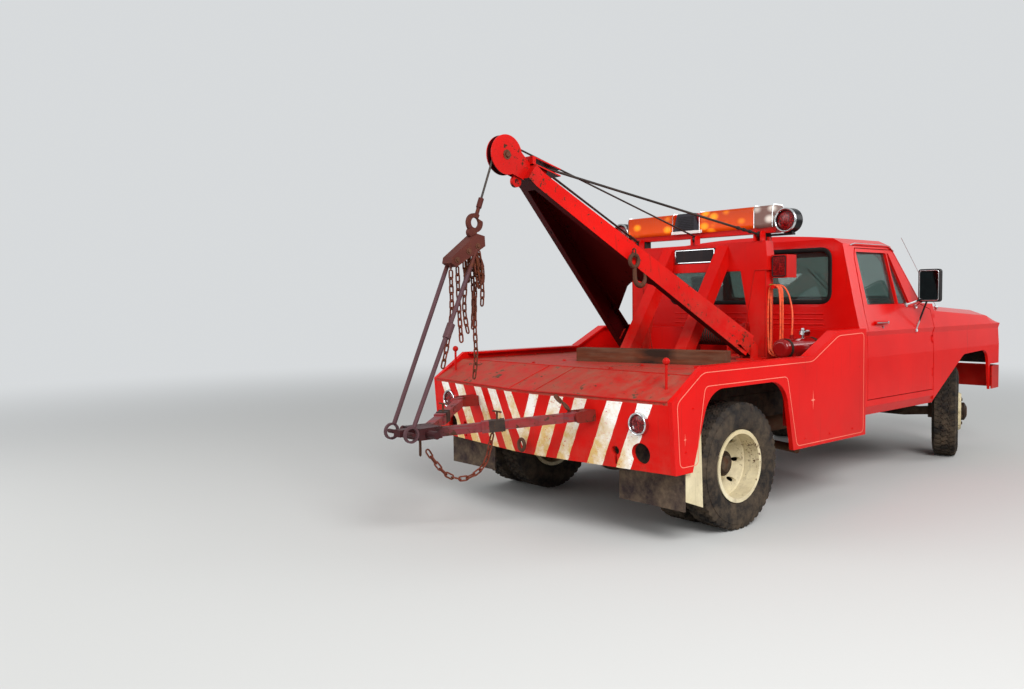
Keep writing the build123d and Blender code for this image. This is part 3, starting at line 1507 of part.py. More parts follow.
# Bench seat
with BuildPart() as seat:
    with BuildSketch(side_plane(640)):
        with BuildLine():
            Polyline((1640, floor_z + seat_gap), (2080, floor_z + seat_gap), (2100, 860), (2150, 880), (2150, 990),
                     (1790, 970), (1690, 1400), (1650, 1415), (1590, 1400), (1620, 860), close=True)
        make_face()
    extrude(amount=1280)
    chamfer(seat.edges().group_by(Axis.Y)[0] + seat.edges().group_by(Axis.Y)[-1], 12)
save(seat, "seat")

# Dash with the steering column and wheel
wheel_middle = point(2330, 380, 1190)
column_lean = Vector(0.9, 0, -0.44).normalized()
with BuildPart() as dash:
    with BuildSketch(side_plane(850)):
        with BuildLine():
            Polyline((2480, 1120), (cab_front - cab_wall - seat_gap, 1150), (cab_front - cab_wall - seat_gap, 1305),
                     (2572, 1312), (2556, 1330), (2480, 1318), close=True)
        make_face()
    extrude(amount=1700)
    with Locations(Plane(wheel_middle, z_dir=column_lean).location):
        Torus(190, 13)
        Cylinder(24, 330, align=round_start)
        Box(380, 26, 14)
save(dash, "dash")

# Front body: fenders with the wheel arches, and the bonnet between them, lofted as one shell and divided
front_half_section = ((fender_half, 560), (fender_half, 960), (976, 1110), (belt_half, belt_z))


def shell_section(station, drop, inset, bottom):
    """The front body's closed cross-section at a station, its top arched between the fenders."""
    sides_up = [(y - inset, z) for y, z in front_half_section]
    sides_up[0] = (fender_half - inset, bottom)
    sides_up += [(942 - inset * 0.9, 1290 - drop - inset * 0.7), (800 - inset * 0.2, 1340 - drop - inset)]
    with BuildSketch(cross_plane(station)) as section:
        with BuildLine():
            Polyline(sides_up[-1], *reversed(sides_up[:-1]), *[(-y, z) for y, z in sides_up])
            ThreePointArc((-sides_up[-1][0], sides_up[-1][1]), (0, hood_z - drop - inset), sides_up[-1])
        make_face()
    return section.sketch


shell_stations = ((door_front + 6, 0), (nose_start, hood_drop), (nose_station, nose_drop))
with BuildPart() as front_shell:
    for station, drop in shell_stations:
        add(shell_section(station, drop, 0, 560))
    loft(front_shell.pending_faces, ruled=True)
with BuildPart() as front_core:
    for station, drop in shell_stations:
        add(shell_section(station, drop, fender_skin, 540))
    loft(front_core.pending_faces, ruled=True)

arch_points = ((2740, 540), (2740, 560), (3330, 905), (3830, 925), (3885, 560), (3885, 540))
with BuildPart() as fenders:
    add(front_shell.part)
    add(front_core.part, mode=Mode.SUBTRACT)
    # Room for the cowl, the bonnet and the wheels
    with BuildSketch(cross_plane(door_front)):
        with Locations((0, 1000)):
            Rectangle(2 * (jamb_half + seat_gap), 900)
    extrude(amount=cab_front + 4 - door_front, mode=Mode.SUBTRACT)
    with BuildSketch(cross_plane(cab_front - 1)):
        with Locations((0, 1250)):
            Rectangle(2 * (hood_half + 3), 400)
    extrude(amount=nose_station - cab_front + 20, mode=Mode.SUBTRACT)
    with BuildSketch(side_plane(1100)) as front_arch:
        with BuildLine():
            Polyline(*arch_points, close=True)
        make_face()
        fillet(front_arch.vertices().sort_by(Axis.Y)[-2:], 110)
    extrude(amount=2200, mode=Mode.SUBTRACT)
    with BuildSketch(cross_plane(rail_front - 70)):
        with Locations((0, bumper_bottom + 100)):
            Rectangle(2200, 2 * (grille_bottom - bumper_bottom - 100))
    extrude(amount=nose_station - rail_front + 80, mode=Mode.SUBTRACT)
save(fenders, "fenders")

bonnet_rear = cab_front + 12
with BuildPart() as bonnet:
    add(front_shell.part)
    add(front_core.part, mode=Mode.SUBTRACT)
    with BuildSketch(cross_plane(bonnet_rear)):
        with Locations((0, 1250)):
            Rectangle(2 * hood_half, 400)
    extrude(amount=nose_station - bonnet_rear, mode=Mode.INTERSECT)
    for side, sign in sides:
        with BuildSketch(side_plane(sign * bonnet_hinge_y + 34)):
            with Locations((bonnet_hinge_station, bonnet_hinge_z)):
                Circle(bonnet_hinge_radius + 2)
        extrude(amount=68)
        with BuildSketch(side_plane(sign * bonnet_hinge_y + 8)):
            with Locations((bonnet_hinge_station + 1, bonnet_hinge_z)):
                Rectangle(28, 60)
        extrude(amount=16, mode=Mode.SUBTRACT)
        with BuildSketch(side_plane(sign * bonnet_hinge_y + 21)):
            with Locations((bonnet_hinge_station, bonnet_hinge_z)):
                Circle(hinge_pin + running_fit)
        extrude(amount=42, mode=Mode.SUBTRACT)
save(bonnet, "bonnet")

# Grille panel between the fenders, with its bars and the headlamps
headlamp_y = 760
headlamp_z = 1000
with BuildPart() as grille:
    with BuildSketch(cross_plane(4030)):
        with BuildLine():
            Polyline((-962.7, grille_bottom), (962.7, grille_bottom), (962.7, 955), (953, 1100), (900, 1140),
                     (790, 1178), (0, 1205), (-790, 1178), (-900, 1140), (-953, 1100), (-962.7, 955), close=True)
        make_face()
        with Locations((0, 1005)):
            Rectangle(1240, 250, mode=Mode.SUBTRACT)
    extrude(amount=44)
    for bar_z in (925, 965, 1005, 1045, 1085):
        with BuildSketch(cross_plane(4046)):
            with Locations((0, bar_z)):
                Rectangle(1250, 14)
        extrude(amount=18)
    for bar_y in (-410, 0, 410):
        with BuildSketch(cross_plane(4038)):
            with Locations((bar_y, 1005)):
                Rectangle(24, 260)
        extrude(amount=16)
    for side, sign in sides:
        with BuildSketch(cross_plane(4040)):
            with Locations((sign * headlamp_y, headlamp_z)):
                Circle(96)
        extrude(amount=46)
        with BuildSketch(cross_plane(4076)):
            with Locations((sign * headlamp_y, headlamp_z)):
                Circle(86)
        extrude(amount=12, mode=Mode.SUBTRACT)
    with BuildSketch(cross_plane(rail_front + seat_gap)):
        with Locations((rail_half, 735), (-rail_half, 735)):
            Rectangle(60, 129)
    extrude(amount=4040 - rail_front)
save(grille, "grille")

# Front bumper on its two arms, with dark guards
with BuildPart() as bumper:
    with BuildSketch(level_plane(bumper_bottom)):
        with BuildLine():
            Polyline((3900, -1000), (4085, -988), (bumper_face, -900), (bumper_face, 900), (4085, 988), (3900, 1000),
                     (3900, 988), (4080, 976), (bumper_face - 12, 888), (bumper_face - 12, -888), (4080, -976),
                     (3900, -988), close=True)
        make_face()
    extrude(amount=bumper_top - bumper_bottom)
    for side, sign in sides:
        with BuildSketch(cross_plane(rail_front + seat_gap)):
            with Locations((sign * rail_half, 620)):
                Rectangle(60, 100)
        extrude(amount=bumper_face - 6 - rail_front)
        with BuildSketch(cross_plane(bumper_face - 4)):
            with Locations((sign * 430, 690)):
                Rectangle(70, 270)
        extrude(amount=guard_face - bumper_face + 4)
save(bumper, "bumper")
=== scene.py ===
import bmesh
import bpy
import math
import numpy as np
from mathutils import Matrix


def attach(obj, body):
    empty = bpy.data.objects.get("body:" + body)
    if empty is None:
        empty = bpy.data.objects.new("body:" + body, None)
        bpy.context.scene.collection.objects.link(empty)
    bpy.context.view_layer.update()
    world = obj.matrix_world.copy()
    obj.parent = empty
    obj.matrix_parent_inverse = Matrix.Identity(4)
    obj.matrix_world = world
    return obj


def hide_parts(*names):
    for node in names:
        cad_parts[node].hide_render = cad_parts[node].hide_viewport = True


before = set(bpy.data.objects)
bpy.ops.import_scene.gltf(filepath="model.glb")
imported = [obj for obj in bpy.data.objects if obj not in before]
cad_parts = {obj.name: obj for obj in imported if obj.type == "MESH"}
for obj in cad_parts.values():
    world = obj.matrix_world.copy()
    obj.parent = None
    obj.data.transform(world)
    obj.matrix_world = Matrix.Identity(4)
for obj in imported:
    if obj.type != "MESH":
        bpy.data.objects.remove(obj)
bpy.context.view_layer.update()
sides = (("left", 1), ("right", -1))

# Camera and light: the camera stands where the photograph was taken from, behind the truck's right
# corner at eye height, with a slightly long normal lens. The light is a soft studio one: an even pale
# sky, one large panel high on the camera's right, a weaker one on its left and one in front.


def unit(v):
    """Vectors made 1 long."""
    v = np.asarray(v, float)
    return v / np.linalg.norm(v, axis=-1, keepdims=True)


def stand(name, data, axes, place):
    """Adds an object whose own axes are these three, at a place."""
    made = bpy.data.objects.new(name, data)
    rows = [[*(axis[i] for axis in axes), place[i]] for i in range(3)]
    made.matrix_world = Matrix([*rows, [0, 0, 0, 1]])
    bpy.context.collection.objects.link(made)
    return made


yaw, pitch, roll = math.radians(49.517), math.radians(-2.999), math.radians(-0.651)
ahead = np.array([math.cos(yaw) * math.cos(pitch), math.sin(yaw) * math.cos(pitch), math.sin(pitch)])
level_right = np.array([math.sin(yaw), -math.cos(yaw), 0.0])
square_up = np.cross(level_right, ahead)
right = level_right * math.cos(roll) + square_up * math.sin(roll)
upward = square_up * math.cos(roll) - level_right * math.sin(roll)
camera = stand("camera", bpy.data.cameras.new("camera"), (right, upward, -ahead), (-5.6105, -4.103, 1.42))
sensor_width, focal_pixels, picture_pixels = 36, 864.6, 1024
camera.data.sensor_width = sensor_width
camera.data.lens = sensor_width * focal_pixels / picture_pixels
camera.data.clip_end = 200
scene = bpy.context.scene
scene.camera = camera
scene.view_settings.view_transform = "Standard"
for lamp_name, place, aim, size, watts in (
    ("key_panel", (-4.4, -6.9, 6.2), (-0.3, 0, 0.8), 4.0, 720),
    ("fill_panel", (-8.0, 3.5, 4.0), (0, 0, 1.0), 5.0, 260),
    ("front_panel", (6.5, -5.5, 4.5), (1, 0, 0.8), 4.0, 170),
):
    back = unit(np.subtract(place, aim))
    side = unit(np.cross((0, 0, 1), back))
    panel = stand(lamp_name, bpy.data.lights.new(lamp_name, "AREA"), (side, np.cross(back, side), back),
                  place)
    panel.data.size = size
    panel.data.energy = watts


def feed(target, values):
    """Sets each input of a node, or links it where the value is another node's output."""
    for place, value in values.items():
        if isinstance(value, bpy.types.NodeSocket):
            target.id_data.links.new(value, target.inputs[place])
        else:
            target.inputs[place].default_value = value


def node(tree, kind, values=None, **settings):
    """Adds one node with its settings and inputs, and gives back its outputs."""
    made = tree.nodes.new("ShaderNode" + kind)
    for key, value in settings.items():
        setattr(made, key, value)
    feed(made, values or {})
    return made.outputs


def linear(code):
    """sRGB hex to linear light: c / 12.92 up to 0.04045, and ((c + 0.055) / 1.055) ^ 2.4 above it."""
    c = np.array([int(code[i:i + 2], 16) for i in (1, 3, 5)]) / 255
    c = np.where(c <= 0.04045, c / 12.92, ((c + 0.055) / 1.055) ** 2.4)
    return (*c.tolist(), 1.0)


def blend(amount, first, second):
    """From the first colour to the second as amount goes from 0 to 1. A colour is a hex code or an output."""
    first, second = (linear(c) if isinstance(c, str) else c for c in (first, second))
    return node(amount.id_data, "Mix", {0: amount, 6: first, 7: second}, data_type="RGBA")[2]


def ranged(value, low, high, at_low=0.0, at_high=1.0, **settings):
    """at_low up to the value low, at_high from the value high on, and an even change between."""
    return node(value.id_data, "MapRange", {0: value, 1: low, 2: high, 3: at_low, 4: at_high}, **settings)[0]


def maths(operation, *values, **settings):
    """One Math node on outputs and numbers."""
    tree = next(v.id_data for v in values if isinstance(v, bpy.types.NodeSocket))
    return node(tree, "Math", dict(enumerate(values)), operation=operation, **settings)[0]


def noise(where, scale, detail, **more):
    """A cloud of noise with about scale lumps to the metre."""
    return node(where.id_data, "TexNoise", {"Vector": where, "Scale": scale, "Detail": detail, **more})[0]


def stretched(where, scale):
    """Coordinates times a scale along each axis, for patterns that are longer one way than another."""
    return node(where.id_data, "Mapping", {"Vector": where, "Scale": scale})[0]


def bump(height, strength, depth, **settings):
    """A normal tilted by a height, depth metres from its lowest to its highest."""
    return node(height.id_data, "Bump", {"Strength": strength, "Distance": depth, "Height": height},
                **settings)[0]


def blank(name):
    """A new material, its shader and its object coordinates."""
    made = bpy.data.materials.new(name)
    made.use_nodes = True
    return made, made.node_tree.nodes["Principled BSDF"], node(made.node_tree, "TexCoord")["Object"]


# The world is the studio's even light, and shows as a pale wall to the eye, in metal and through glass.
backdrop, backdrop_strength = "#eef1f3", 0.8
world = bpy.data.worlds.new("studio")
world.use_nodes = True
scene.world = world
rays = node(world.node_tree, "LightPath")
seen = maths("MAXIMUM", rays["Is Camera Ray"], rays["Is Glossy Ray"])
seen = maths("MAXIMUM", seen, rays["Is Transmission Ray"])
feed(world.node_tree.nodes["Background"], {
    "Color": linear(backdrop), "Strength": ranged(seen, 0, 1, 0.55, backdrop_strength)})

# Floor: a plain pale studio floor, far wider than the truck. Far away the camera sees it in the
# backdrop's own colour, so that no horizon shows.
floor_mesh = bpy.data.meshes.new("floor")
floor_reach, floor_height = 60, -0.001
corners = [(x * floor_reach, y * floor_reach, floor_height) for x, y in ((-1, -1), (1, -1), (1, 1), (-1, 1))]
floor_mesh.from_pydata(corners, [], [(0, 1, 2, 3)])
floor = bpy.data.objects.new("floor", floor_mesh)
floor_paint, shader, where = blank("pale matt floor")
reach = node(floor_paint.node_tree, "VectorMath", {0: where}, operation="LENGTH")["Value"]
far = maths("MULTIPLY", ranged(reach, 3.5, 14.0, interpolation_type="SMOOTHSTEP"),
            node(floor_paint.node_tree, "LightPath")["Is Camera Ray"])
feed(shader, {"Base Color": blend(far, "#c9c9c7", "#000000"), "Roughness": 0.9, "Specular IOR Level": 0.0,
              "Emission Color": linear(backdrop),
              "Emission Strength": maths("MULTIPLY", far, backdrop_strength)})
floor_mesh.materials.append(floor_paint)
bpy.context.collection.objects.link(floor)

# Air hose: 3.7 m of orange rubber hose, hung over a peg on the mast's right post in a hank of three
# turns, its loose end on the peg. It is moulded rubber, so it is dull, with dirt along it.
# Points: arcs on the peg and under it, a point every 36 degrees or less, and one on each straight.
origin_station = 1173.5


def at(points):
    """Millimetres, with stations counted forward from the rear axle, to metres in the shared frame."""
    return (np.asarray(points, float) - (origin_station, 0, 0)) / 1000


def hank(start, bottoms, bows, width=94.0, top=1500.0, shift=9.0):
    """Control points of a hank, in mm, one turn for each bottom: the hose runs down at y - width / 2, round a
    half circle of radius width / 2, up, and over the top, while its station grows by shift each way. Halfway
    down and up it bows sideways by that turn's bows."""
    half = width / 2
    route = [(start, 0.0, top), (start, -half * 0.62, top - half * 0.19), (start, -half, top - half)]
    for turn, (bottom, bow) in enumerate(zip(bottoms, bows)):
        low, high = start + shift * (2 * turn + 0.5), start + shift * (2 * turn + 1.5)
        route.append((low - shift / 2, bow[0] - half, (top + bottom) / 2))
        for a in np.radians(np.linspace(90, 270, 6)):
            s, c = math.sin(a), math.cos(a)
            route.append((low - shift / 2 * s, -half * s, bottom + half + half * c))
        route.append((low + shift / 2, bow[1] + half, (top + bottom) / 2))
        last_turn = turn == len(bottoms) - 1
        for a in np.radians(np.linspace(-90, 0, 4) if last_turn else np.linspace(-90, 90, 6)):
            s, c = math.sin(a), math.cos(a)
            route.append((high + shift / 2 * s, -half * s, top - half + half * c))
    return np.array(route)


hose_route = hank(905.0, (1000.0, 1016.0, 990.0), ((-9, 8), (9, -9), (-2, 2))) + (0, -679, 0)
to_tank = [(966, -716, 1492), (984, -737, 1455), (981, -762, 1395), (966, -788, 1315), (948, -800, 1230),
           (940, -800, 1150.6)]
hose_route = at(np.concatenate([hose_route, to_tank])[::-1])
hose_curve = bpy.data.curves.new("air_hose", "CURVE")
hose_curve.dimensions = "3D"
spline = hose_curve.splines.new("NURBS")
spline.points.add(len(hose_route) - 1)
spline.points.foreach_set("co", np.insert(hose_route, 3, 1.0, axis=1).ravel())
spline.order_u = 3
spline.use_endpoint_u = True
hose_curve.bevel_depth = 0.006
hose_curve.bevel_resolution = 3
hose_curve.use_fill_caps = True
hose = bpy.data.objects.new("air_hose", hose_curve)
bpy.context.collection.objects.link(hose)
rubber, shader, where = blank("orange moulded rubber")
feed(shader, {"Base Color": blend(ranged(noise(where, 55.0, 4.0), 0.45, 0.75), "#ee5a2a", "#a3432a"),
              "Roughness": 0.6})
hose_curve.materials.append(rubber)
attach(hose, "chassis")
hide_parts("hose")

# Frame, axles and running gear: pressed and cast steel under the truck, brushed with black chassis
# paint long ago and now covered in road dirt, with rust where the paint has gone.


def weathered(name, colour, faded, wear=0.4, chip=40.0, gloss=0.35, dust=0.3, dust_top=0.8, metal=0.0,
              coat=0.0, worn_to="#55301f", relief=0.0):
    """Old paint or bare metal. The colour fades in half-metre patches, chips of about chip mm open to rust
    where a fine noise passes a limit set by wear, thin drips run down, and dust lies below dust_top metres.
    Chips and dust are rougher than the paint."""
    made, shader, where = blank(name)
    patch = noise(where, 2.1, 3.0)
    fleck = noise(where, 1000 / chip, 8.0, Roughness=0.66, Distortion=0.5)
    # Chips gather where the slow noise is high, so that wear comes in places, not evenly
    level = maths("ADD", fleck, ranged(noise(where, 3.3, 2.0), 0.35, 0.7, -0.07, 0.07))
    edge = 0.76 - 0.2 * wear
    chips = ranged(level, edge, edge + 0.012)
    stain = ranged(level, edge - 0.06, edge + 0.02, 0, 0.45)
    grain = noise(where, 240.0, 5.0)
    rust = blend(grain, "#2f1a12", worn_to)
    streaks = noise(stretched(where, (34.0, 34.0, 1.6)), 1.0, 4.0)
    drips = ranged(streaks, 0.62 - 0.05 * wear, 0.8, 0, 0.2 + 0.5 * wear)
    height = node(made.node_tree, "SeparateXYZ", {0: where})["Z"]
    cloud = ranged(noise(where, 9.0, 6.0, Roughness=0.7), 0.38, 0.75, 0, dust)
    dirt = maths("MULTIPLY", ranged(height, dust_top, dust_top - 0.6, 0.12, 1.0), cloud)
    paint = blend(ranged(patch, 0.35, 0.68), colour, faded)
    for amount, tint in ((stain, rust), (drips, rust), (chips, rust), (dirt, "#7d6b57")):
        paint = blend(amount, paint, tint)
    rough = maths("MULTIPLY_ADD", maths("MAXIMUM", chips, dirt), 0.45, gloss, use_clamp=True)
    feed(shader, {"Base Color": paint, "Roughness": rough, "Metallic": metal, "Coat Weight": coat,
                  "Coat Roughness": 0.12, "Specular IOR Level": 0.5 if metal > 0.5 else 0.1})
    if relief:
        feed(shader, {"Normal": bump(grain, 0.6, relief)})
    elif wear > 0.2:
        feed(shader, {"Normal": bump(chips, 0.5, 0.0008, invert=True)})
    return made


def dress(material, *names):
    """Gives these CAD nodes the material in place of their slot's plain one."""
    for name in names:
        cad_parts[name].material_slots[0].material = material


chassis_black = weathered("black chassis paint, brushed", "#191817", "#2a2623", wear=0.55, gloss=0.55,
                          dust=0.75, dust_top=1.0)
dress(chassis_black, "frame", "fuel_tank", "subframe")
# Cast and forged iron is rougher and browner than the pressed rails.
cast_iron = weathered("cast iron, oiled and rusty", "#2a2421", "#3d2c22", wear=0.8, chip=60, gloss=0.7,
                      dust=0.8, dust_top=0.9, metal=0.25, relief=0.0006)
dress(cast_iron, "front_axle", "rear_axle", "springs", "driveline", "engine", "knuckle_left", "knuckle_right")
rusty_pipe = weathered("mild steel pipe, rusted", "#4b3529", "#66442f", wear=0.9, chip=30, gloss=0.8,
                       dust=0.5, metal=0.2, worn_to="#7a4526", relief=0.0005)
dress(rusty_pipe, "exhaust")

# Wrecker body: folded and welded sheet steel, sprayed bright red enamel. The side panels keep a gloss;
# the deck and the apron behind it are scuffed by timber, chains and boots. The air tank is darker.
body_red = weathered("red enamel on sheet steel", "#d80e0a", "#c90b08", wear=0.12, chip=22, gloss=0.3,
                     dust=0.15, dust_top=0.75, coat=0.06)
dress(body_red, "side_panel_left", "side_panel_right", "body_front")
tank_red = weathered("dark red gloss enamel", "#8e0f10", "#7c0d0e", wear=0.1, chip=16, gloss=0.12, dust=0.1,
                     coat=0.5)
dress(tank_red, "air_tank")
deck_red = weathered("red enamel, scuffed by loads", "#b8201a", "#a8352a", wear=0.62, chip=55, gloss=0.55,
                     dust=0.55, dust_top=1.7, worn_to="#6b4a3a")
dress(deck_red, "deck")

# Tail panel: the same red sheet with hand-painted white stripes that lean in to a V at the middle.
# The white has yellowed and is scratched and speckled with rust, most of all near the middle and below.


def cover(material, amount, colour, **also):
    """Lays a colour over the material's own where amount is 1, and sets other inputs of its shader."""
    shader = material.node_tree.nodes["Principled BSDF"]
    own = shader.inputs["Base Color"].links[0].from_socket
    feed(shader, {"Base Color": blend(amount, own, colour), **also})


def located(material):
    """Object coordinates in the material, whole and split into X, Y and Z."""
    where = node(material.node_tree, "TexCoord")["Object"]
    return where, node(material.node_tree, "SeparateXYZ", {0: where})


def strip(value, edges):
    """A stepped ramp along value: 0 from the first edge, 1 from the second, 0 from the third, and so on."""
    tree = value.id_data
    ramp = tree.nodes.new("ShaderNodeValToRGB")
    ramp.color_ramp.interpolation = "CONSTANT"
    stops = ramp.color_ramp.elements
    while len(stops) < len(edges):
        stops.new(1.0)
    for number, (stop, edge) in enumerate(zip(stops, edges)):
        stop.position = edge
        stop.color = (*[number % 2] * 3, 1)
    tree.links.new(value, ramp.inputs[0])
    return ramp.outputs[0]


tail_red = weathered("red enamel with hand-painted white stripes", "#d4110b", "#c20e0a", wear=0.3, chip=18,
                     gloss=0.35, dust=0.5, dust_top=0.7)
where, part = located(tail_red)
out = maths("ABSOLUTE", maths("SUBTRACT", part["Y"], 0.01))
# How far out the stripe that passes here starts at the panel's top edge: the stripes lean 0.45 to 1
lean = maths("MULTIPLY_ADD", maths("SUBTRACT", 0.829, part["Z"]), 0.45, out)
lean = maths("MULTIPLY_ADD", noise(where, 14.0, 2.0), 0.012, lean)
stripes = strip(lean, (0, 0.09, 0.175, 0.27, 0.37, 0.455, 0.545, 0.69, 0.8, 0.9, 1.02))
facing = node(tail_red.node_tree, "NewGeometry")["Normal"]
rear_face = maths("LESS_THAN", node(tail_red.node_tree, "SeparateXYZ", {0: facing})["X"], -0.4)
held = ranged(noise(stretched(where, (40.0, 40.0, 90.0)), 1.0, 7.0, Roughness=0.75), 0.60, 0.625, 1.0, 0.0)
white = maths("MULTIPLY", maths("MULTIPLY", stripes, rear_face), held)
yellow = maths("ADD", noise(where, 7.0, 5.0, Roughness=0.7), ranged(part["Z"], 0.8, 0.5, -0.1, 0.12))
yellow = maths("ADD", yellow, ranged(part["Y"], -0.95, -0.55, -0.16, 0.02))
cover(tail_red, white, blend(ranged(yellow, 0.36, 0.66), "#fbf7f0", "#dcb877"))
dress(tail_red, "tail_panel")

# Pinstripes of the body: a line of pale paint runs a hand's width inside the edge of each side panel,
# with a four-pointed spark near each end. Each is a coat of paint thick, laid on the sheet.


def piece(name, shells, material, body="chassis", smooth=38.0):
    """One mesh from shells. Each shell is (points, close_rows, close_columns, caps), its points in metres as
    (..., rows, columns, 3). Face (i, j) joins points (i, j), (i, j+1), (i+1, j+1) and (i+1, j), and caps
    close the first and last row with one face each."""
    corners, faces, first = [], [], 0
    for points, close_rows, close_columns, caps in shells:
        points = np.asarray(points, float)
        rows, columns = points.shape[-3:-1]
        points = points.reshape(-1, rows * columns, 3)
        i, j = np.meshgrid(np.arange(rows if close_rows else rows - 1),
                           np.arange(columns if close_columns else columns - 1), indexing="ij")
        here, below = i.ravel() * columns, (i.ravel() + 1) % rows * columns
        left, right = j.ravel(), (j.ravel() + 1) % columns
        quads = np.stack([here + left, here + right, below + right, below + left], 1)
        starts = first + np.arange(len(points)) * rows * columns
        faces += (quads[None] + starts[:, None, None]).reshape(-1, 4).tolist()
        if caps:
            ring = np.arange(columns)
            faces += (starts[:, None] + ring[None, ::-1]).tolist()
            faces += (starts[:, None] + (rows - 1) * columns + ring[None]).tolist()
        corners.append(points.reshape(-1, 3))
        first += corners[-1].shape[0]
    mesh = bpy.data.meshes.new(name)
    mesh.from_pydata(np.concatenate(corners).tolist(), [], faces)
    shape = bmesh.new()
    shape.from_mesh(mesh)
    bmesh.ops.remove_doubles(shape, verts=shape.verts, dist=2e-5)
    bmesh.ops.recalc_face_normals(shape, faces=shape.faces)
    shape.to_mesh(mesh)
    shape.free()
    mesh.polygons.foreach_set("use_smooth", np.ones(len(mesh.polygons), bool))
    mesh.set_sharp_from_angle(angle=math.radians(smooth))
    made = bpy.data.objects.new(name, mesh)
    bpy.context.collection.objects.link(made)
    mesh.materials.append(material)
    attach(made, body)
    return made


def plate(outline, shift):
    """A solid plate in mm: a flat outline of points, and the same moved by shift."""
    outline = np.asarray(outline, float)
    return at([outline, outline + shift]), False, True, True


def swept(path, profile, up=(0, 0, 1), closed=False):
    """A flat profile carried along a path, all in metres: row i is path i plus profile u times side plus
    profile v times rise, where side is tangent x up and rise is side x tangent, both of length 1."""
    path = np.asarray(path, float)
    tangent = unit(np.roll(path, -1, 0) - np.roll(path, 1, 0) if closed else np.gradient(path, axis=0))
    side = unit(np.cross(tangent, np.broadcast_to(up, path.shape)))
    rise = np.cross(side, tangent)
    profile = np.asarray(profile, float)
    rows = path[:, None] + profile[None, :, :1] * side[:, None] + profile[None, :, 1:] * rise[:, None]
    return rows, closed, True, not closed


def rounded(points, radius, steps=5, closed=True):
    """A path whose corners are swapped for arcs: a quadratic curve from radius before each corner to radius
    after it, drawn towards the corner."""
    points = np.asarray(points, float)
    before = points - np.roll(points, 1, 0)
    after = np.roll(points, -1, 0) - points
    reach_in, reach_out = (np.linalg.norm(v, axis=1, keepdims=True) for v in (before, after))
    start = points - before / reach_in * np.minimum(radius, reach_in * 0.49)
    end = points + after / reach_out * np.minimum(radius, reach_out * 0.49)
    t = np.linspace(0, 1, steps)[None, :, None]
    arcs = (1 - t) ** 2 * start[:, None] + 2 * t * (1 - t) * points[:, None] + t ** 2 * end[:, None]
    if closed:
        return arcs.reshape(-1, 3)
    return np.concatenate([points[:1], arcs[1:-1].reshape(-1, 3), points[-1:]])


def trim(points, corner, profile, up, closed=False, steps=5):
    """A profile carried along points in mm, whose corners are rounded from corner metres before them."""
    return swept(rounded(at(points), corner, steps, closed), profile, up, closed)


def band(width, thickness):
    """The flat profile of a strip: a rectangle of that width across the path and that thickness outwards."""
    return np.array([(-1, -1), (1, -1), (1, 1), (-1, 1)]) * (width / 2, thickness / 2)


stripe_paint = weathered("pale pinstripe paint", "#ee8b78", "#e0705c", wear=0.2, chip=14, gloss=0.4, dust=0.2)
stripe_line = [(-676, 478), (-512, 478), (-520, 560), (-452, 915), (388, 915), (502, 462), (1350, 462),
               (1350, 1158), (1008, 1150), (682, 994), (-470, 994), (-702, 838)]
panel_face, spark_waist, spark_width, coat_depth = 1111.5, 0.16, 0.4, 1.2
for side, y in sides:
    line = [(x, y * panel_face, z) for x, z in stripe_line]
    shells = [trim(line, 0.035, band(0.0045, 0.001), (0, 1, 0), True)]
    for x, z, size in ((690, 742, 62), (-633, 632, 34)):
        spark = []
        for number in range(8):
            reach, turn = size * (spark_waist if number % 2 else 1), number * math.pi / 4
            spark.append((x + reach * math.cos(turn) * spark_width, y * panel_face - coat_depth / 2,
                          z + reach * math.sin(turn)))
        shells.append(plate(spark, (0, coat_depth, 0)))
    piece("pinstripes_" + side, shells, stripe_paint)

# Welded seams and bolts of the deck: the side rails are bent over and spot-welded, and a half-round
# bead runs along the apron's creases, where the paint is bruised. Hex bolts hold the deck down.


def round_profile(steps):
    """Points at equal turns on a circle of radius 1."""
    t = np.arange(steps) * 2 * np.pi / steps
    return np.stack([np.cos(t), np.sin(t)], 1)


def around(axis, first, steps, start=0.0):
    """Directions across an axis at equal turns. The first is start radians on from the direction first."""
    t = start + np.arange(steps)[:, None] * 2 * np.pi / steps
    return np.cos(t) * first + np.sin(t) * np.cross(axis, first)


def bolts(places, normal, size):
    """Hex bolt heads in metres: three hexagon rows each, the last drawn in by a fifth, on a round washer."""
    normal = unit(normal)
    first = unit(np.cross(normal, (0.3, 0.5, 0.81)))
    shells = []
    for steps, rows in ((6, ((0.5, -0.3), (0.5, 0.3), (0.4, 0.4))), (12, ((0.85, -0.3), (0.85, 0.06)))):
        ring = around(normal, first, steps)
        points = [np.asarray(places, float)[:, None] + size * (r * ring + h * normal) for r, h in rows]
        shells.append((np.stack(points, 1), False, True, True))
    return shells


def turned(profile, centre, axis, steps=48, close=False):
    """A profile of (along, radius) pairs in metres turned about an axis: point = centre + along * axis +
    radius * (cos t * a + sin t * b), with a and b across the axis. close joins the profile's ends."""
    profile = np.asarray(profile, float)
    axis = unit(axis)
    first = unit(np.cross(axis, (0.0, 0.0, 1.0) if abs(axis[2]) < 0.9 else (0.0, 1.0, 0.0)))
    ring = around(axis, first, steps)
    rows = np.asarray(centre, float) + profile[:, None, :1] * axis + profile[:, None, 1:] * ring[None]
    return rows, close, True, not close


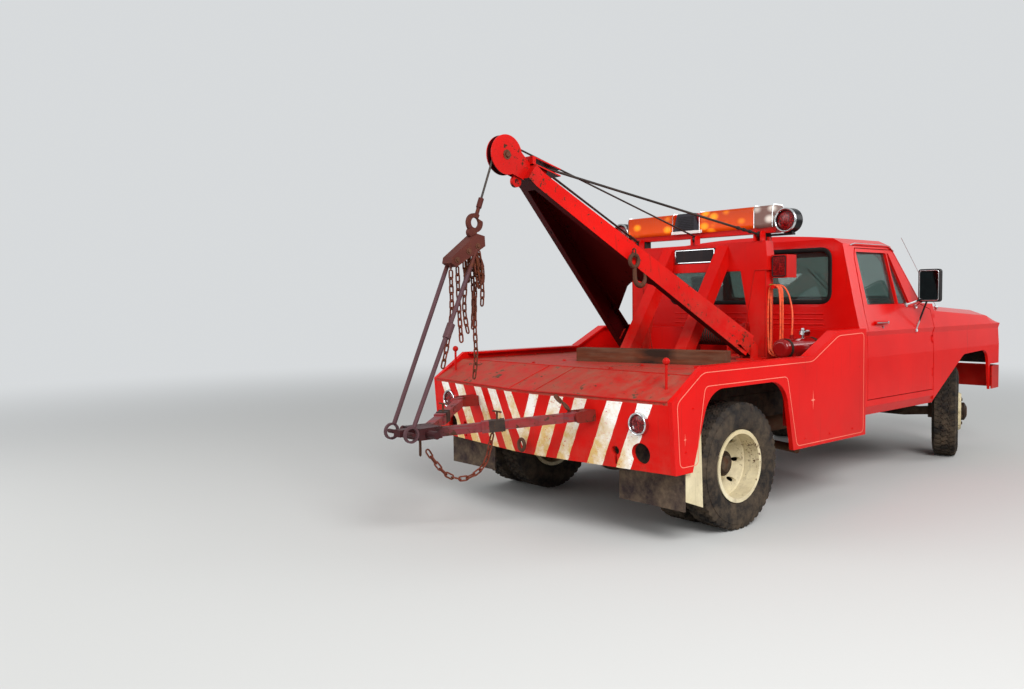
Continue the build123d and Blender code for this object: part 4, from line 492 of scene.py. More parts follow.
bead = round_profile(8)
deck_top = 976
seam_red = weathered("red enamel over weld seams", "#bd1610", "#9c1a12", wear=0.5, chip=18, gloss=0.45,
                     dust=0.4)
creases = [swept(at([(-500, y, 975.5), (x, y, 849.5)]), bead * 0.0035, up=(0, 1, 0))
           for y, x in ((1078, -748), (120, -864), (-120, -864), (-1078, -748))]
creases.append(swept(at([(-499, -1076, 975.5), (-499, 1076, 975.5)]), bead * 0.004))
apron_edge = [(x, y, 848) for x, y in ((-750, -1074), (-866, -120), (-866, 120), (-750, 1074))]
creases.append(swept(at(apron_edge), bead * 0.005))
creases += [swept(at([(-480, y, deck_top), (1340, y, deck_top)]), bead * 0.0035) for y in (-1079, 1079)]
piece("weld_seams", creases, seam_red)
rows, columns = (-430, -130, 170, 470, 980, 1280), (-1010, -365, 365, 1010)
deck_bolts = at([(x, y, deck_top + 1) for x in rows for y in columns])
piece("deck_bolts", bolts(deck_bolts, (0, 0, 1), 0.02), seam_red)
screws = ((-620, 560), (-560, 800), (1200, 500), (900, 500), (600, 500))
for side, y in sides:
    heads = at([(x, y * (panel_face + 0.1), z) for x, z in screws])
    piece("panel_screws_" + side, bolts(heads, (0, y, 0), 0.011), body_red)

# Mud flaps and stone guards: sheets behind the dual wheels, near black as painted shade of the body's
# overhang, and a strip of cream-painted sheet steel on the arch's rear edge, chipped by stones.
# The flaps' near-black colour is painted shade: the shadow that the body's overhang casts on them.
flap_shade_black = weathered("near-black sheet in painted shade", "#2c2426", "#3b3030", wear=0.05, gloss=0.8, dust=0.9,
                        dust_top=1.0)
guard_cream = weathered("cream enamel, stone-chipped", "#e2d6b4", "#c9b98f", wear=0.55, chip=16, gloss=0.5,
                        dust=0.5)
dress(flap_shade_black, "mud_flaps")
for side, y in sides:
    guard = [(x, y * 1072.2, z) for x, z in ((-452, 660), (-590, 600), (-590, 272), (-432, 215))]
    piece("stone_guard_" + side, [plate(guard, (0, y * 9, 0))], guard_cream)
    heads = at([(-601.5, y * v, 860) for v in (640, 780, 920, 1040)])
    piece("flap_bolts_" + side, bolts(heads, (-1, 0, 0), 0.014), chassis_black)

# Tail lamps: a red glass lens with dimples moulded in it, held by a chromed ring, set in the upper hole of
# each side of the tail. The lower holes are bare and dark.
chrome = weathered("chromed steel, pitted", "#d9dcde", "#b9bcbc", wear=0.25, chip=9, gloss=0.12, dust=0.15,
                   metal=1.0)
red_glass, shader, where = blank("red moulded lamp glass")
dimple = node(red_glass.node_tree, "TexVoronoi", {"Vector": where, "Scale": 110.0})["Distance"]
feed(shader, {"Base Color": blend(ranged(dimple, 0.0, 0.6), "#bd1410", "#4d0407"), "Roughness": 0.2,
              "Coat Weight": 0.15, "Specular IOR Level": 0.3, "Normal": bump(dimple, 0.5, 0.0012)})
dress(chrome, "tail_lamps")


def domed(radius, height, rows=9):
    """The profile of a lens: a shallow dome, height * (1 - (r / radius)^2.4), with a flat disc behind it."""
    r = np.linspace(0, radius, rows)
    dome = np.stack([height * (1 - (r / radius) ** 2.4), r], 1)
    return np.concatenate([dome, [(-0.004, radius), (-0.004, 0)]])


def hoop(radius, wire):
    """The profile of a rim: a circle of wire radius round the lens's edge, a little flattened."""
    return round_profile(10) * (wire * 1.2, wire) + (0, radius)


lenses, rims = [], []
lamp_y, lamp_z, rearward = 888, 712, (-1, 0, 0)
for y in (-lamp_y, lamp_y):
    lenses.append(turned(domed(0.0535, 0.010), at((-765, y, lamp_z)), rearward, 40))
    rims.append(turned(hoop(0.0600, 0.0055), at((-778, y, lamp_z)), rearward, 40, close=True))
piece("tail_lamp_lenses", lenses, red_glass)
piece("tail_lamp_rims", rims, chrome)

# Control levers: two rods come up through the apron, each with a round red knob, to work the winch.
# The tow eye is forged steel, rusty, welded low on the tail panel behind the V.
knob_red = weathered("red enamel on steel rod", "#c4140f", "#a3160f", wear=0.4, chip=12, gloss=0.35, dust=0.2)
dress(knob_red, "control_rods")
forged = weathered("forged steel, rusty", "#4a352c", "#6a4132", wear=0.9, chip=24, gloss=0.75, dust=0.4,
                   metal=0.3, worn_to="#7d4a2e", relief=0.0005)
eye = at([(-873, -10 + 27 * u, 500 + 36 * v) for u, v in round_profile(28)])
piece("tail_eye", [swept(eye, bead * 0.011, up=(1, 0, 0), closed=True)], forged)

# Cab: pressed steel, sprayed the same red as the body but kept in better order, with dust along the
# sills. Its thin clear coat gives long soft highlights. The bumper is duller, the grille chromed.
cab_red = weathered("red enamel, polished", "#da0f0b", "#ce0c09", wear=0.05, chip=14, gloss=0.24, dust=0.16,
                    dust_top=0.72, coat=0.1)
dress(cab_red, "cab", "door_left", "door_right", "fenders", "bonnet")
bumper_red = weathered("red enamel on a steel bumper", "#cf150e", "#a5140f", wear=0.35, chip=20, gloss=0.35,
                       dust=0.4)
dress(bumper_red, "bumper")
dress(chrome, "grille")

# Glass: flat tempered panes with a grey-green tint, clear enough to show the seat and the dash.
pane, shader, where = blank("tinted safety glass")
feed(shader, {"Base Color": linear("#8fa39d"), "Transmission Weight": 0.94, "Roughness": 0.03, "IOR": 1.45})
dress(pane, "windows", "door_glass_left", "door_glass_right")

# Rubber gaskets hold the rear window and the windscreen: a black extruded rubber lip round each pane.
# Thin bright mouldings trim the drip rails over the doors.
gasket_rubber = weathered("black extruded rubber", "#161414", "#242020", wear=0.0, gloss=0.5, dust=0.25)
round_bar = round_profile(10)
# The windscreen's plane: a point at its foot, the way up it and the way out of it
screen_foot, screen_rise, screen_out = np.array([(2600, 0, 1352), (-0.5766, 0, 0.817), (0.817, 0, 0.5766)])
rear_window = [(1534.5, y, z) for y, z in ((-748, 1372), (748, 1372), (748, 1765), (-748, 1765))]
screen = [screen_foot + (0, y, 0) + screen_rise * v + screen_out * 4
          for y, v in ((-830, 59), (830, 59), (720, 511), (-720, 511))]
piece("rear_window_gasket", [trim(rear_window, 0.08, round_bar * (0.016, 0.007), (1, 0, 0), True, 8)],
      gasket_rubber)
piece("windscreen_gasket", [trim(screen, 0.06, round_bar * (0.014, 0.006), screen_out, True, 8)],
      gasket_rubber)
for side, y in sides:
    drip = [(1640, y * 843, 1790), (1690, y * 847, 1806), (2220, y * 847, 1806), (2300, y * 852, 1764)]
    moulding = trim(drip, 0.04, round_bar * (0.004, 0.0075), (0, 1, 0))
    piece("drip_moulding_" + side, [moulding], chrome)

# Door hardware: a pull handle with a push button, and a lock below it, all chromed die castings.
button, lock = (((-0.004, 0), (-0.004, r), (h, r - 0.001), (end, 0)) for r, h, end in (
    (0.011, 0.012, 0.014), (0.009, 0.003, 0.003)))
grip_line = ((1772, 992), (1790, 1008), (1850, 1012), (1900, 1008), (1918, 992))
for side, y in sides:
    grip = [(x, y * out, 1214) for x, out in grip_line]
    shells = [trim(grip, 0.03, round_bar * (0.006, 0.012), (0, 1, 0)),
              turned(button, at((1936, y * 990, 1214)), (0, y, 0), 20),
              turned(lock, at((1880, y * 987, 1178)), (0, y, 0), 20)]
    piece("door_handle_" + side, shells, chrome, side + "_door")

# Wheels: bias-ply tyres, black rubber gone grey with dust. All have deep staggered lugs, and the rear
# ones stand in pairs.
pitches, tread_depth, shoulder_depth = 46, 0.009, 0.004
wheel_height, front_station, kingpin_y = 389.5, 3404, 692
# From a wheel's start, metres outwards: the middles of its tyres, and the step from there to the disc
front_middles, rear_middles, dish = (0.105,), (0.950, 0.698), 0.118
level_up = (0.0, 0.0, 1.0)


def tyre(centre, out):
    """A tyre as (angle, profile) on a grid: radius = profile radius - depth * groove. On the crown the groove
    is 1 in the slots between lugs, which slant with the distance from the middle, in short cuts across the
    middle and in two zigzag channels. The slots go on down the shoulder, less deep."""
    outline = np.array([(-74, 207), (-74, 226), (-92, 250), (-101, 292), (-102, 310), (-97, 350), (-93, 352),
                        (-92, 360), (-79, 389.3)])
    crown = np.stack([np.linspace(-79, 79, 27), np.full(27, 389.3)], 1)
    across, radius = np.concatenate([outline[:-1], crown, outline[-2::-1] * (-1, 1)]).T / 1000
    steps = pitches * 8
    angle = np.arange(steps) * 2 * np.pi / steps
    s = across / 0.079
    pitch = angle[:, None] * pitches / (2 * np.pi)
    slant = pitch + 0.55 * np.abs(s) + 0.5 * (s > 0)
    slot = slant % 1 < 0.36
    middle = (np.abs(s) < 0.26) & ((pitch + 0.9 * s) % 1 < 0.24)
    zigzag = np.abs(np.abs(s) - 0.34 - 0.06 * np.sign((pitch % 1) - 0.5)) < 0.07
    groove = ((np.abs(s) > 0.42) & slot | middle | zigzag) & (radius > 0.385)
    shoulder = (radius > 0.351) & (radius < 0.385) & slot
    r = radius - tread_depth * groove - shoulder_depth * shoulder
    ring = around(out, level_up, steps)
    return centre + across[None, :, None] * out + r[:, :, None] * ring[:, None], True, True, False


tyre_rubber = weathered("bias-ply tyre rubber, dusty", "#1d1b1b", "#2b2827", wear=0.0, gloss=0.78, dust=0.55,
                        dust_top=1.1)
steer_turn = math.radians(22)
rear_axle = at((0, 0, wheel_height))
wheel_sets = []
for side, y in sides:
    out = np.array([-y * math.sin(steer_turn), y * math.cos(steer_turn), 0])
    kingpin = at((front_station, y * kingpin_y, wheel_height))
    wheel_sets.append(("wheel_front_" + side, "front_" + side, out, kingpin, front_middles,
                       front_middles[0] + dish))
    wheel_sets.append(("wheels_rear_" + side, "rear_" + side, np.array([0.0, y, 0.0]), rear_axle,
                       rear_middles, rear_middles[0] - dish))
for body, name, out, start, middles, disc in wheel_sets:
    treads = piece("tread_" + name, [tyre(start + out * middle, out) for middle in middles], tyre_rubber,
                   body, smooth=30)
    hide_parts("tyre_" + name)

# Rims: pressed steel discs riveted into rolled rims, sprayed cream and now chipped and rust-streaked.
# The hubs and their bearing caps are bare and black with grease. Eight nuts hold each wheel.


def rim_finish(name, on_axis, axis):
    """Cream enamel that turns to greasy black iron within 82 mm of the wheel's axis: the distance is the
    length of (place - on_axis) x axis."""
    made = weathered(name, "#e6dab8", "#cdbb8e", wear=0.5, chip=20, gloss=0.4, dust=0.5, dust_top=1.0,
                     worn_to="#6b3d22")
    tree = made.node_tree
    away = node(tree, "VectorMath", {0: located(made)[0], 1: tuple(on_axis)}, operation="SUBTRACT")[0]
    crossed = node(tree, "VectorMath", {0: away, 1: tuple(axis)}, operation="CROSS_PRODUCT")[0]
    reach = node(tree, "VectorMath", {0: crossed}, operation="LENGTH")["Value"]
    cover(made, ranged(reach, 0.08, 0.084, 1.0, 0.0), blend(noise(away, 60.0, 4.0), "#15110f", "#3a2a20"))
    return made


rear_rim = rim_finish("cream enamel on pressed steel, rear", rear_axle, (0, 1, 0))
for body, name, out, start, middles, disc in wheel_sets:
    rear = "rear" in name
    dress(rear_rim if rear else rim_finish("cream enamel on pressed steel, " + name, start, out),
          "rim_" + name)
    cap_face = disc + (0.096 if rear else 0.042)
    nuts = start + out * (disc + 0.0065) + 0.112 * around(out, level_up, 8, 0.3)
    studs = start + out * (cap_face - 0.012) + 0.064 * around(out, level_up, 6)
    cap = turned([(0.0, 0), (0.0, 0.052), (0.006, 0.05), (0.010, 0.03), (0.010, 0)],
                 start + out * (cap_face - 0.001), out, 32)
    piece("wheel_nuts_" + name, [*bolts(nuts, out, 0.024), cap, *bolts(studs, out, 0.014)], cast_iron,
          body)

# Mast: a welded tower of folded plate behind the cab, its crosshead open in front, its posts and raked
# braces box-welded. It is sprayed red, dulled by weather, and chipped at the edges. A blank plate hangs
# on the crosshead's rear face.
mast_red = weathered("red enamel on welded plate", "#d5100b", "#c00d09", wear=0.22, chip=26, gloss=0.33,
                     dust=0.3, dust_top=1.5)
dress(mast_red, "mast", "winch", "light_bar")


def slab(one, other):
    """A box between two opposite corners in mm."""
    (x0, y0, z0), (x1, y1, z1) = np.sort([one, other], axis=0)
    return plate([(x0, y0, z0), (x1, y0, z0), (x1, y1, z0), (x0, y1, z0)], (0, 0, z1 - z0))


plate_black = weathered("black enamelled plate", "#1d1a1c", "#2b2528", wear=0.3, chip=12, gloss=0.4, dust=0.2)
piece("blank_plate", [slab((890.5, -190, 1674), (894.6, 186, 1784))], plate_black)
border = [(890.2, y, z) for y, z in ((-182, 1682), (178, 1682), (178, 1776), (-182, 1776))]
piece("blank_plate_border", [trim(border, 0.008, band(0.004, 0.001), (1, 0, 0), True, 4)], chrome)
post_feet = [(x, y, 989.5) for y in (432, 592) for x in (912, 968)]
brace_feet = [(x, y, 988) for y in (195, 315) for x in (330, 470)]
foot_bolts = np.concatenate([at(post_feet + brace_feet) * (1, y, 1) for side, y in sides])
piece("mast_foot_bolts", bolts(foot_bolts, (0, 0, 1), 0.024), cast_iron)
# Ends of each weld on the left, its radius, and the way that its profile stands
weld_lines = (
    ((894.5, 411, 976), (894.5, 532, 1606), 0.004, (0, 1, 0)),
    ((894.5, 621, 978), (894.5, 621, 1604), 0.004, (0, 1, 0)),
    ((341, 206, 988.5), (469, 206, 988.5), 0.005, (0, 0, 1)),
    ((341, 304, 988.5), (469, 304, 988.5), 0.005, (0, 0, 1)),
    ((894.3, 640, 1606.5), (894.3, 532, 1606.5), 0.004, (0, 0, 1)),
)
welds = [swept(at(ends) * (1, y, 1), round_bar * radius, up)
         for side, y in sides for *ends, radius, up in weld_lines]
piece("mast_welds", welds, seam_red)

# The hose's loose end lies on the peg with a crimped brass ferrule and a hose tail.
brass = weathered("brass, tarnished", "#b08a3e", "#8a6a30", wear=0.1, chip=8, gloss=0.3, dust=0.2, metal=1.0)
ferrule_profile = [(0, 0), (0, 0.0068), (0.014, 0.0068), (0.015, 0.0095), (0.026, 0.0095), (0.027, 0.0045),
                   (0.04, 0.004), (0.04, 0)]
ferrule = piece("hose_ferrule", [turned(ferrule_profile, at((905, -679.5, 1500)), (0, 1, 0), 16)], brass)

# Light bar: a pair of amber lens boxes on a folded rail with a clear lamp end on the right, and between
# them the grey horn of a siren speaker on a pale strip. The lenses are moulded acrylic with fine ribs. Bright
# spots are painted into them as painted reflections of the reflectors behind, and the lenses give off a
# faint painted glow in their own colour.
amber, shader, where = blank("amber and clear moulded acrylic")
along = node(amber.node_tree, "SeparateXYZ", {0: where})
cells = node(amber.node_tree, "TexVoronoi", {
    "Vector": stretched(where, (5.0, 9.0, 13.0)), "Scale": 1.0, "Randomness": 0.8})["Distance"]
# Painted reflections: a bright spot in the lens colour at the middle of each stretched cell.
painted_glint = ranged(cells, 0.1, 0.5, 1.0, 0.0, interpolation_type="SMOOTHSTEP")
amber_and_painted_glints = blend(painted_glint, blend(ranged(along["Z"], 1.95, 2.06), "#c8420a", "#a5330a"), "#ff9a1c")
milky_and_painted_glints = blend(painted_glint, "#6b4f48", "#cfc6bb")
lens_and_painted_glints = blend(maths("LESS_THAN", along["Y"], -0.520), amber_and_painted_glints, milky_and_painted_glints)
ribs = node(amber.node_tree, "TexWave", {"Vector": where, "Scale": 14.0}, bands_direction="Y")[0]
# The emission is painted light: a faint glow in the lens colour, which carries the painted reflections.
feed(shader, {"Base Color": lens_and_painted_glints, "Roughness": 0.2, "Specular IOR Level": 0.12,
              "Emission Color": lens_and_painted_glints, "Emission Strength": 0.34, "Normal": bump(ribs, 0.35, 0.001)})
dress(amber, "light_lenses")
speaker_grey = weathered("grey enamelled pressing", "#2c2a31", "#3a3840", wear=0.15, chip=14, gloss=0.3,
                         dust=0.2)
horn = [(902, y, z) for y, z in ((-46, 1904), (216, 1904), (170, 2058), (10, 2058))]
piece("siren_speaker", [plate(horn, (124, 0, 0))], speaker_grey, smooth=20)
louvres = [slab((899.5, 14 + 0.15 * i, z), (902.5, 166 - 0.15 * i, z + 5))
           for i, z in enumerate(range(1936, 2040, 13))]
piece("speaker_louvres", louvres, plate_black)
strip_white = weathered("white enamel strip", "#e8e4e0", "#cfc7c0", wear=0.15, gloss=0.4, dust=0.2)
piece("speaker_base", [slab((899, -62, 1904), (903, 226, 1926))], strip_white)
posts = [slab((930, y - 38, 1813), (1000, y + 38, 1868)) for y in (555, -555)]
piece("light_bar_posts", posts, chassis_black)
clip_line = ((904, 1906), (904, 2040), (915, 2060), (1020, 2060), (1034, 2040), (1034, 1906))
clips = [swept(at([(x, y, z) for x, z in clip_line]), band(0.012, 0.003), (0, 1, 0))
         for y in (212, 670, -42, -519, -668)]
piece("lens_clips", clips, chrome)

# Round rear lamps and box work lamps: spun steel shells, black outside, with red dimpled glass behind
# a chromed rim. The square ones have red glass in a red-painted case.
lamp_shell = weathered("black and red painted lamp shells", "#c5150f", "#a8120c", wear=0.2, chip=12,
                       gloss=0.25, dust=0.2)
cover(lamp_shell, maths("GREATER_THAN", located(lamp_shell)[1]["Z"], 1.84), "#141214")
dress(lamp_shell, "lamps")
round_lenses, round_rims, box_lenses, box_frames = [], [], [], []
round_y, round_z, box_face, box_foot, box_top = 764, 1945, 926.5, 1560, 1700
for side, y in sides:
    round_lenses.append(turned(domed(0.0705, 0.016, 12), at((920, y * round_y, round_z)), rearward))
    round_rims.append(turned(hoop(0.0785, 0.0075), at((908, y * round_y, round_z)), rearward, close=True))
    low, high = sorted((y * 652, y * 756))
    box_lenses.append(slab((box_face, low, box_foot), (box_face + 4.5, high, box_top)))
    corners = [(box_face, low, box_foot), (box_face, high, box_foot), (box_face, high, box_top),
               (box_face, low, box_top)]
    box_frames.append(trim(corners, 0.012, round_bar * 0.004, (1, 0, 0), True))
piece("round_lamp_lenses", round_lenses, red_glass)
piece("round_lamp_rims", round_rims, chrome)
piece("box_lamp_lenses", box_lenses, red_glass)
piece("box_lamp_frames", box_frames, plate_black)

# Boom: two tapering channel legs, welded to a head of flat cheeks. The red enamel is scraped along the
# legs by chains and has gone to rust at the head. Faces that look in towards the middle or down are painted
# near black: painted shade, with the grease and old grime inside the channels and below them.
boom_red = weathered("red enamel, scraped by chains", "#d4110b", "#b90e0a", wear=0.62, chip=30, gloss=0.35,
                     dust=0.3, dust_top=1.6)
where, part = located(boom_red)
ways = node(boom_red.node_tree, "TexCoord")["Normal"]
facing = node(boom_red.node_tree, "SeparateXYZ", {0: ways})
inward = maths("MULTIPLY", maths("SIGN", part["Y"]), facing["Y"])
# Painted shade with grime: faces whose normals turn in towards the middle or down go near black.
shade_and_grime = maths("MAXIMUM", ranged(inward, -0.2, -0.7, 0, 0.94), ranged(facing["Z"], -0.2, -0.7, 0, 0.94))
cover(boom_red, shade_and_grime, "#160407")
dress(boom_red, "boom")
# A web plate, 6 mm thick, joins the legs' upper flanges from the neck down to a fifth of their length, with a
# notch in its lower edge. Each corner has its share of the leg's length and of the plate's half width. Along
# a leg its depth goes from 165 to 108 mm, and the plate's half width from 535 to 28 mm.
leg_foot, leg_run, leg_up = np.array([(790, 0, 1052), (-1542, 0, 1114), (0.5856, 0, 0.8106)])
web_outline = ((0.2, -1), (0.98, -1), (0.98, 1), (0.2, 1), (0.36, 0.34), (0.4, 0), (0.36, -0.34))
web_top = []
for share, across in web_outline:
    rise, reach = (165 - 57 * share) / 2 - 1.5, across * (535 - 507 * share)
    web_top.append(leg_foot + leg_run * share + leg_up * rise + (0, reach, 0))
piece("boom_web", [plate(web_top, leg_up * -6)], boom_red, "boom_arm")
dress(forged, "sheave")
bracket_red = weathered("worn red bracket steel", "#7d1c18", "#5a2c24", wear=0.8, chip=30, gloss=0.5,
                        dust=0.3)
dress(bracket_red, "tail_brackets")
head_nuts = [shell for side, y in sides for shell in bolts(at([(-980, y * 26.5, 2305)]), (0, y, 0), 0.036)]
piece("head_nut", head_nuts, forged, "boom_arm")

# Wire ropes: six strands laid round a core, greased and dark. Two topping stays hold the boom's head to
# the crosshead, and the hoist rope runs from the winch over the sheave down to the hook.


def distances(path):
    """How far along a path each of its points lies."""
    return np.concatenate([[0], np.cumsum(np.linalg.norm(np.diff(path, axis=0), axis=1))])


def spots(path, run, places):
    """The points of a path at places, which are distances along it as run gives them."""
    return np.stack([np.interp(places, run, path[:, i]) for i in range(3)], 1)


def rope(path, radius, lay):
    """Six strands round a path: each ring's radius is radius * (1 + 0.16 * |cos(3 (angle - turn))|), where
    turn grows by one circle for each lay of length along the path."""
    run = distances(path)
    s = np.linspace(0, run[-1], int(run[-1] / (lay / 10)) + 2)
    line = spots(path, run, s)
    tangent = unit(np.gradient(line, axis=0))
    side = unit(np.cross(tangent, (0.02, 1.0, 0.01)))
    rise = np.cross(side, tangent)
    angle = np.arange(24) * 2 * np.pi / 24
    turn = 2 * np.pi * s[:, None] / lay
    r = radius * (1 + 0.16 * np.abs(np.cos(3 * (angle - turn))))
    u, v = (r * np.cos(angle))[:, :, None], (r * np.sin(angle))[:, :, None]
    return line[:, None] + u * side[:, None] + v * rise[:, None], False, True, True


wire = weathered("greased steel wire rope", "#2c2826", "#463a33", wear=0.5, chip=30, gloss=0.5, dust=0.2,
                 metal=0.6)
dress(wire, "stays")
stay_ropes = []
for side, y in sides:
    stay_ropes.append(rope(at([(880, y * 551.2, 1864), (-620, y * 27.6, 2243.6)]), 0.0068, 0.055))
    start, way = np.array([905, y * 560, 1858]), np.array([-1547, y * -540, 391])
    for share in (0.05, 0.08, 0.11):
        stay_ropes.append(turned([(-0.009, 0), (-0.009, 0.013), (0.009, 0.013), (0.009, 0)],
                                 at(start + way * share), way, 10))
piece("stay_ropes", stay_ropes, wire, "stay_set")
hoist_start, hoist_end = np.array([905, 0, 1875.0]), np.array([-961, 0, 2380.7])
hoist_line = at([hoist_start * (1 - share) + hoist_end * share for share in (0.02, 0.98)])
piece("hoist_rope", [rope(hoist_line, 0.0052, 0.045)], wire, "stay_set")
drum_turns, drum_radius, drum_length, drum_place = 17, 78.5, 370, 1130
turn = np.linspace(0, 2 * np.pi * drum_turns, drum_turns * 16)
drum = at(np.stack([drum_place + drum_radius * np.cos(turn), drum_length * (turn / turn[-1] - 0.5),
                    drum_place + drum_radius * np.sin(turn)], 1))
piece("drum_rope", [swept(drum, round_profile(5) * 0.0065, (0, 1, 0))], wire)

# Chains: short-link welded steel chain, 10 mm wire, rusty brown and in places still red from overspray.
# The links are closed rings with round sides, every second one turned a quarter.
chain_steel = weathered("welded chain steel, rusty", "#4f3328", "#7a3a2c", wear=0.95, chip=35, gloss=0.7,
                        dust=0.2, metal=0.35, worn_to="#86492b", relief=0.0004)
chain_pitch, wire_size, link_width, overlap = 44.0, 10.0, 34.0, 1
arc_steps, section_steps = 8, 7


def through(points, count=200):
    """A smooth line through points: on each span, the Catmull-Rom cubic of its four neighbours."""
    points = np.asarray(points, float)
    padded = np.concatenate([2 * points[:1] - points[1:2], points, 2 * points[-1:] - points[-2:-1]])
    a, b, c, d = (padded[i:len(points) - 1 + i, None] for i in range(4))
    t = np.linspace(0, 1, count // (len(points) - 1), endpoint=False)[None, :, None]
    cubic = (3 * b - a - 3 * c + d) * t ** 3
    line = 0.5 * (2 * b + (c - a) * t + (2 * a - 5 * b + 4 * c - d) * t ** 2 + cubic)
    return np.concatenate([line.reshape(-1, 3), points[-1:]])


def links(route, first_turn=0):
    """Links along a route, all at once: link i lies between the points i and i + 1 pitches along. Each is a
    ring of two half circles and two straights, with a round section, in the plane of the run and an
    across direction that turns a quarter from link to link."""
    line = through(route)
    run = distances(line)
    joints = spots(line, run, np.arange(0, run[-1] - chain_pitch * 0.4, chain_pitch))
    start, end = joints[:-1], joints[1:]
    u = unit(end - start)
    level = np.broadcast_to((0.0, 1.0, 0.0), u.shape)
    odd = ((np.arange(len(u)) + first_turn) % 2 == 1)[:, None]
    normal = np.where(odd, level, unit(np.cross(level, u)))
    v = unit(np.cross(normal, u))
    bend = (link_width - wire_size) / 2
    half = (chain_pitch + overlap + 2 * wire_size - link_width) / 2
    a = np.linspace(-np.pi / 2, np.pi / 2, arc_steps)
    arc = np.stack([np.cos(a), np.sin(a)], 1)
    outward = np.concatenate([arc, -arc])[:, None]
    ring = bend * outward + np.repeat([(half, 0), (-half, 0)], arc_steps, axis=0)[:, None]
    section = round_profile(section_steps) * wire_size / 2
    plane = ring + section[:, :1] * outward
    u, v, normal, middle = (w[:, None, None] for w in (u, v, normal, (start + end) / 2))
    return at(middle + plane[..., :1] * u + plane[..., 1:] * v + section[:, 1:] * normal), True, True, False


sling_routes = (
    ((-1214, 0, 1695), (-1228, 0, 1300), (-1222, 0, 1080), (-1246, 0, 900)),
    ((-1262, 26, 1660), (-1263, 26, 1600), (-1290, 20, 1370), (-1262, 12, 1180)),
    ((-1345, 10, 1612), (-1340, 6, 1370), (-1328, 0, 1150)),
    ((-1408, -10, 1590), (-1410, -8, 1300), (-1484, 0, 970)),
)
# A spare length is looped up in bights and short ends under the plates' front end
spare_routes = (
    ((-1222, -40, 1705), (-1212, -46, 1600), (-1226, -50, 1492), (-1246, -50, 1600), (-1250, -40, 1700)),
    ((-1236, 42, 1712), (-1226, 48, 1600), (-1240, 52, 1530), (-1258, 52, 1610), (-1262, 42, 1704)),
    ((-1226, -18, 1690), (-1206, -34, 1600), (-1196, -38, 1480), (-1204, -36, 1330)),
    ((-1238, 14, 1680), (-1212, 38, 1570), (-1200, 44, 1440), (-1208, 40, 1300), (-1220, 36, 1210)),
    ((-1214, -20, 1695), (-1186, -30, 1600), (-1182, -10, 1500), (-1194, 14, 1560), (-1222, 18, 1690)),
)
chains = [links(route, number) for number, route in enumerate(sling_routes + spare_routes)]
hung = piece("sling_chain_links", chains, chain_steel, "sling_set")
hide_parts("sling_chains")
loop_route = ((-1300, -244, 640), (-1345, -225, 470), (-1440, -170, 392), (-1540, -120, 420),
              (-1612, -80, 520), (-1650, -62, 590))
loop = piece("tow_chain_links", [links(loop_route)], chain_steel, "tow_frame")
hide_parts("tow_chain")

# Sling: a swivel hook, a ring and two flat spreader plates, forged and flame-cut, with two round bars
# down to the tow bar's cross-pin. The plates are rust brown, the bars grey with a little mauve.
sling_steel = weathered("forged and flame-cut steel", "#4a2420", "#5e3029", wear=0.8, chip=28, gloss=0.6,
                        dust=0.15, metal=0.25, worn_to="#8a5138", relief=0.0004)
cover(sling_steel, ranged(located(sling_steel)[1]["Z"], 1.56, 1.62, 0.72, 0.0), "#58444a")
dress(sling_steel, "sling")
# The rope leaves the sheave's groove, 75 mm from its centre, and falls to the hook
sheave_centre, groove = (-980, 0, 2305), 75
fall, back_way = np.array([-0.354, 0, -0.935]), np.array([-0.935, 0, 0.354])
wrap = np.radians(np.linspace(-33, 0, 14))[:, None]
over = sheave_centre + groove * (np.cos(wrap) * back_way + np.sin(wrap) * fall)
fall_line = np.concatenate([over, over[-1] + fall * np.linspace(10, 322, 20)[:, None]])
piece("fall_rope", [rope(at(fall_line), 0.0061, 0.045)], wire, "sling_set")
plate_bolts = at([(x, 47.5, z) for x, z in ((-1232, 1738), (-1300, 1705), (-1386, 1652))])
spreader_bolts = [shell for side, y in sides for shell in bolts(plate_bolts * (1, y, 1), (0, y, 0), 0.022)]
piece("spreader_bolts", spreader_bolts, forged, "sling_set")

# Tow bar: square tube, its red paint worn to a mauve brown, with dark sleeves that slide on the arms
# and are held by tee-handled screws. The yoke and the arms' thin ends are black with old grease, and a
# pin hangs from the yoke.
arm_finish = weathered("red enamel worn through on square tube", "#9a2a2c", "#7a2f36", wear=0.75, chip=45,
                       gloss=0.45, dust=0.3, dust_top=1.1, metal=0.1)
where, part = located(arm_finish)
# Long grey-mauve streaks along the arms: worn paint, and painted highlights along the tube.
cover(arm_finish, ranged(noise(stretched(where, (3.0, 9.0, 110.0)), 1.0, 5.0), 0.5, 0.62, 0, 0.7), "#6d4b4d")
cover(arm_finish, ranged(part["X"], -2.66, -2.74, 0, 0.85), "#2a1c1d")
dress(arm_finish, "tow_bar")
sleeve_black = weathered("black painted sleeve", "#241d1d", "#35282a", wear=0.6, chip=25, gloss=0.5, dust=0.4,
                         dust_top=1.0)
sleeves, handles = [], []
square = band(0.0676, 0.0676)
for side, y in sides:
    foot, yoke = np.array([(-925, y * 545, 735.0), (-1540, y * 62, 662.0)])
    way = unit(yoke - foot)
    middle = foot + (yoke - foot) * 0.58
    for shift, reach, size in ((0, 46, 1), (-26, 4, 1.07), (26, 4, 1.07)):
        sleeves.append(swept(at([middle + way * (shift - reach), middle + way * (shift + reach)]),
                             square * size))
    top = middle + (0, 0, 33)
    handles.append(turned([(0, 0), (0, 0.006), (0.05, 0.006), (0.05, 0)], at(top), (0, 0, 1), 10))
    handles.append(swept(at([top + (-3, -42, 48), top + (3, 42, 48)]), round_bar * 0.005))
piece("arm_sleeves", sleeves, sleeve_black, "tow_frame")
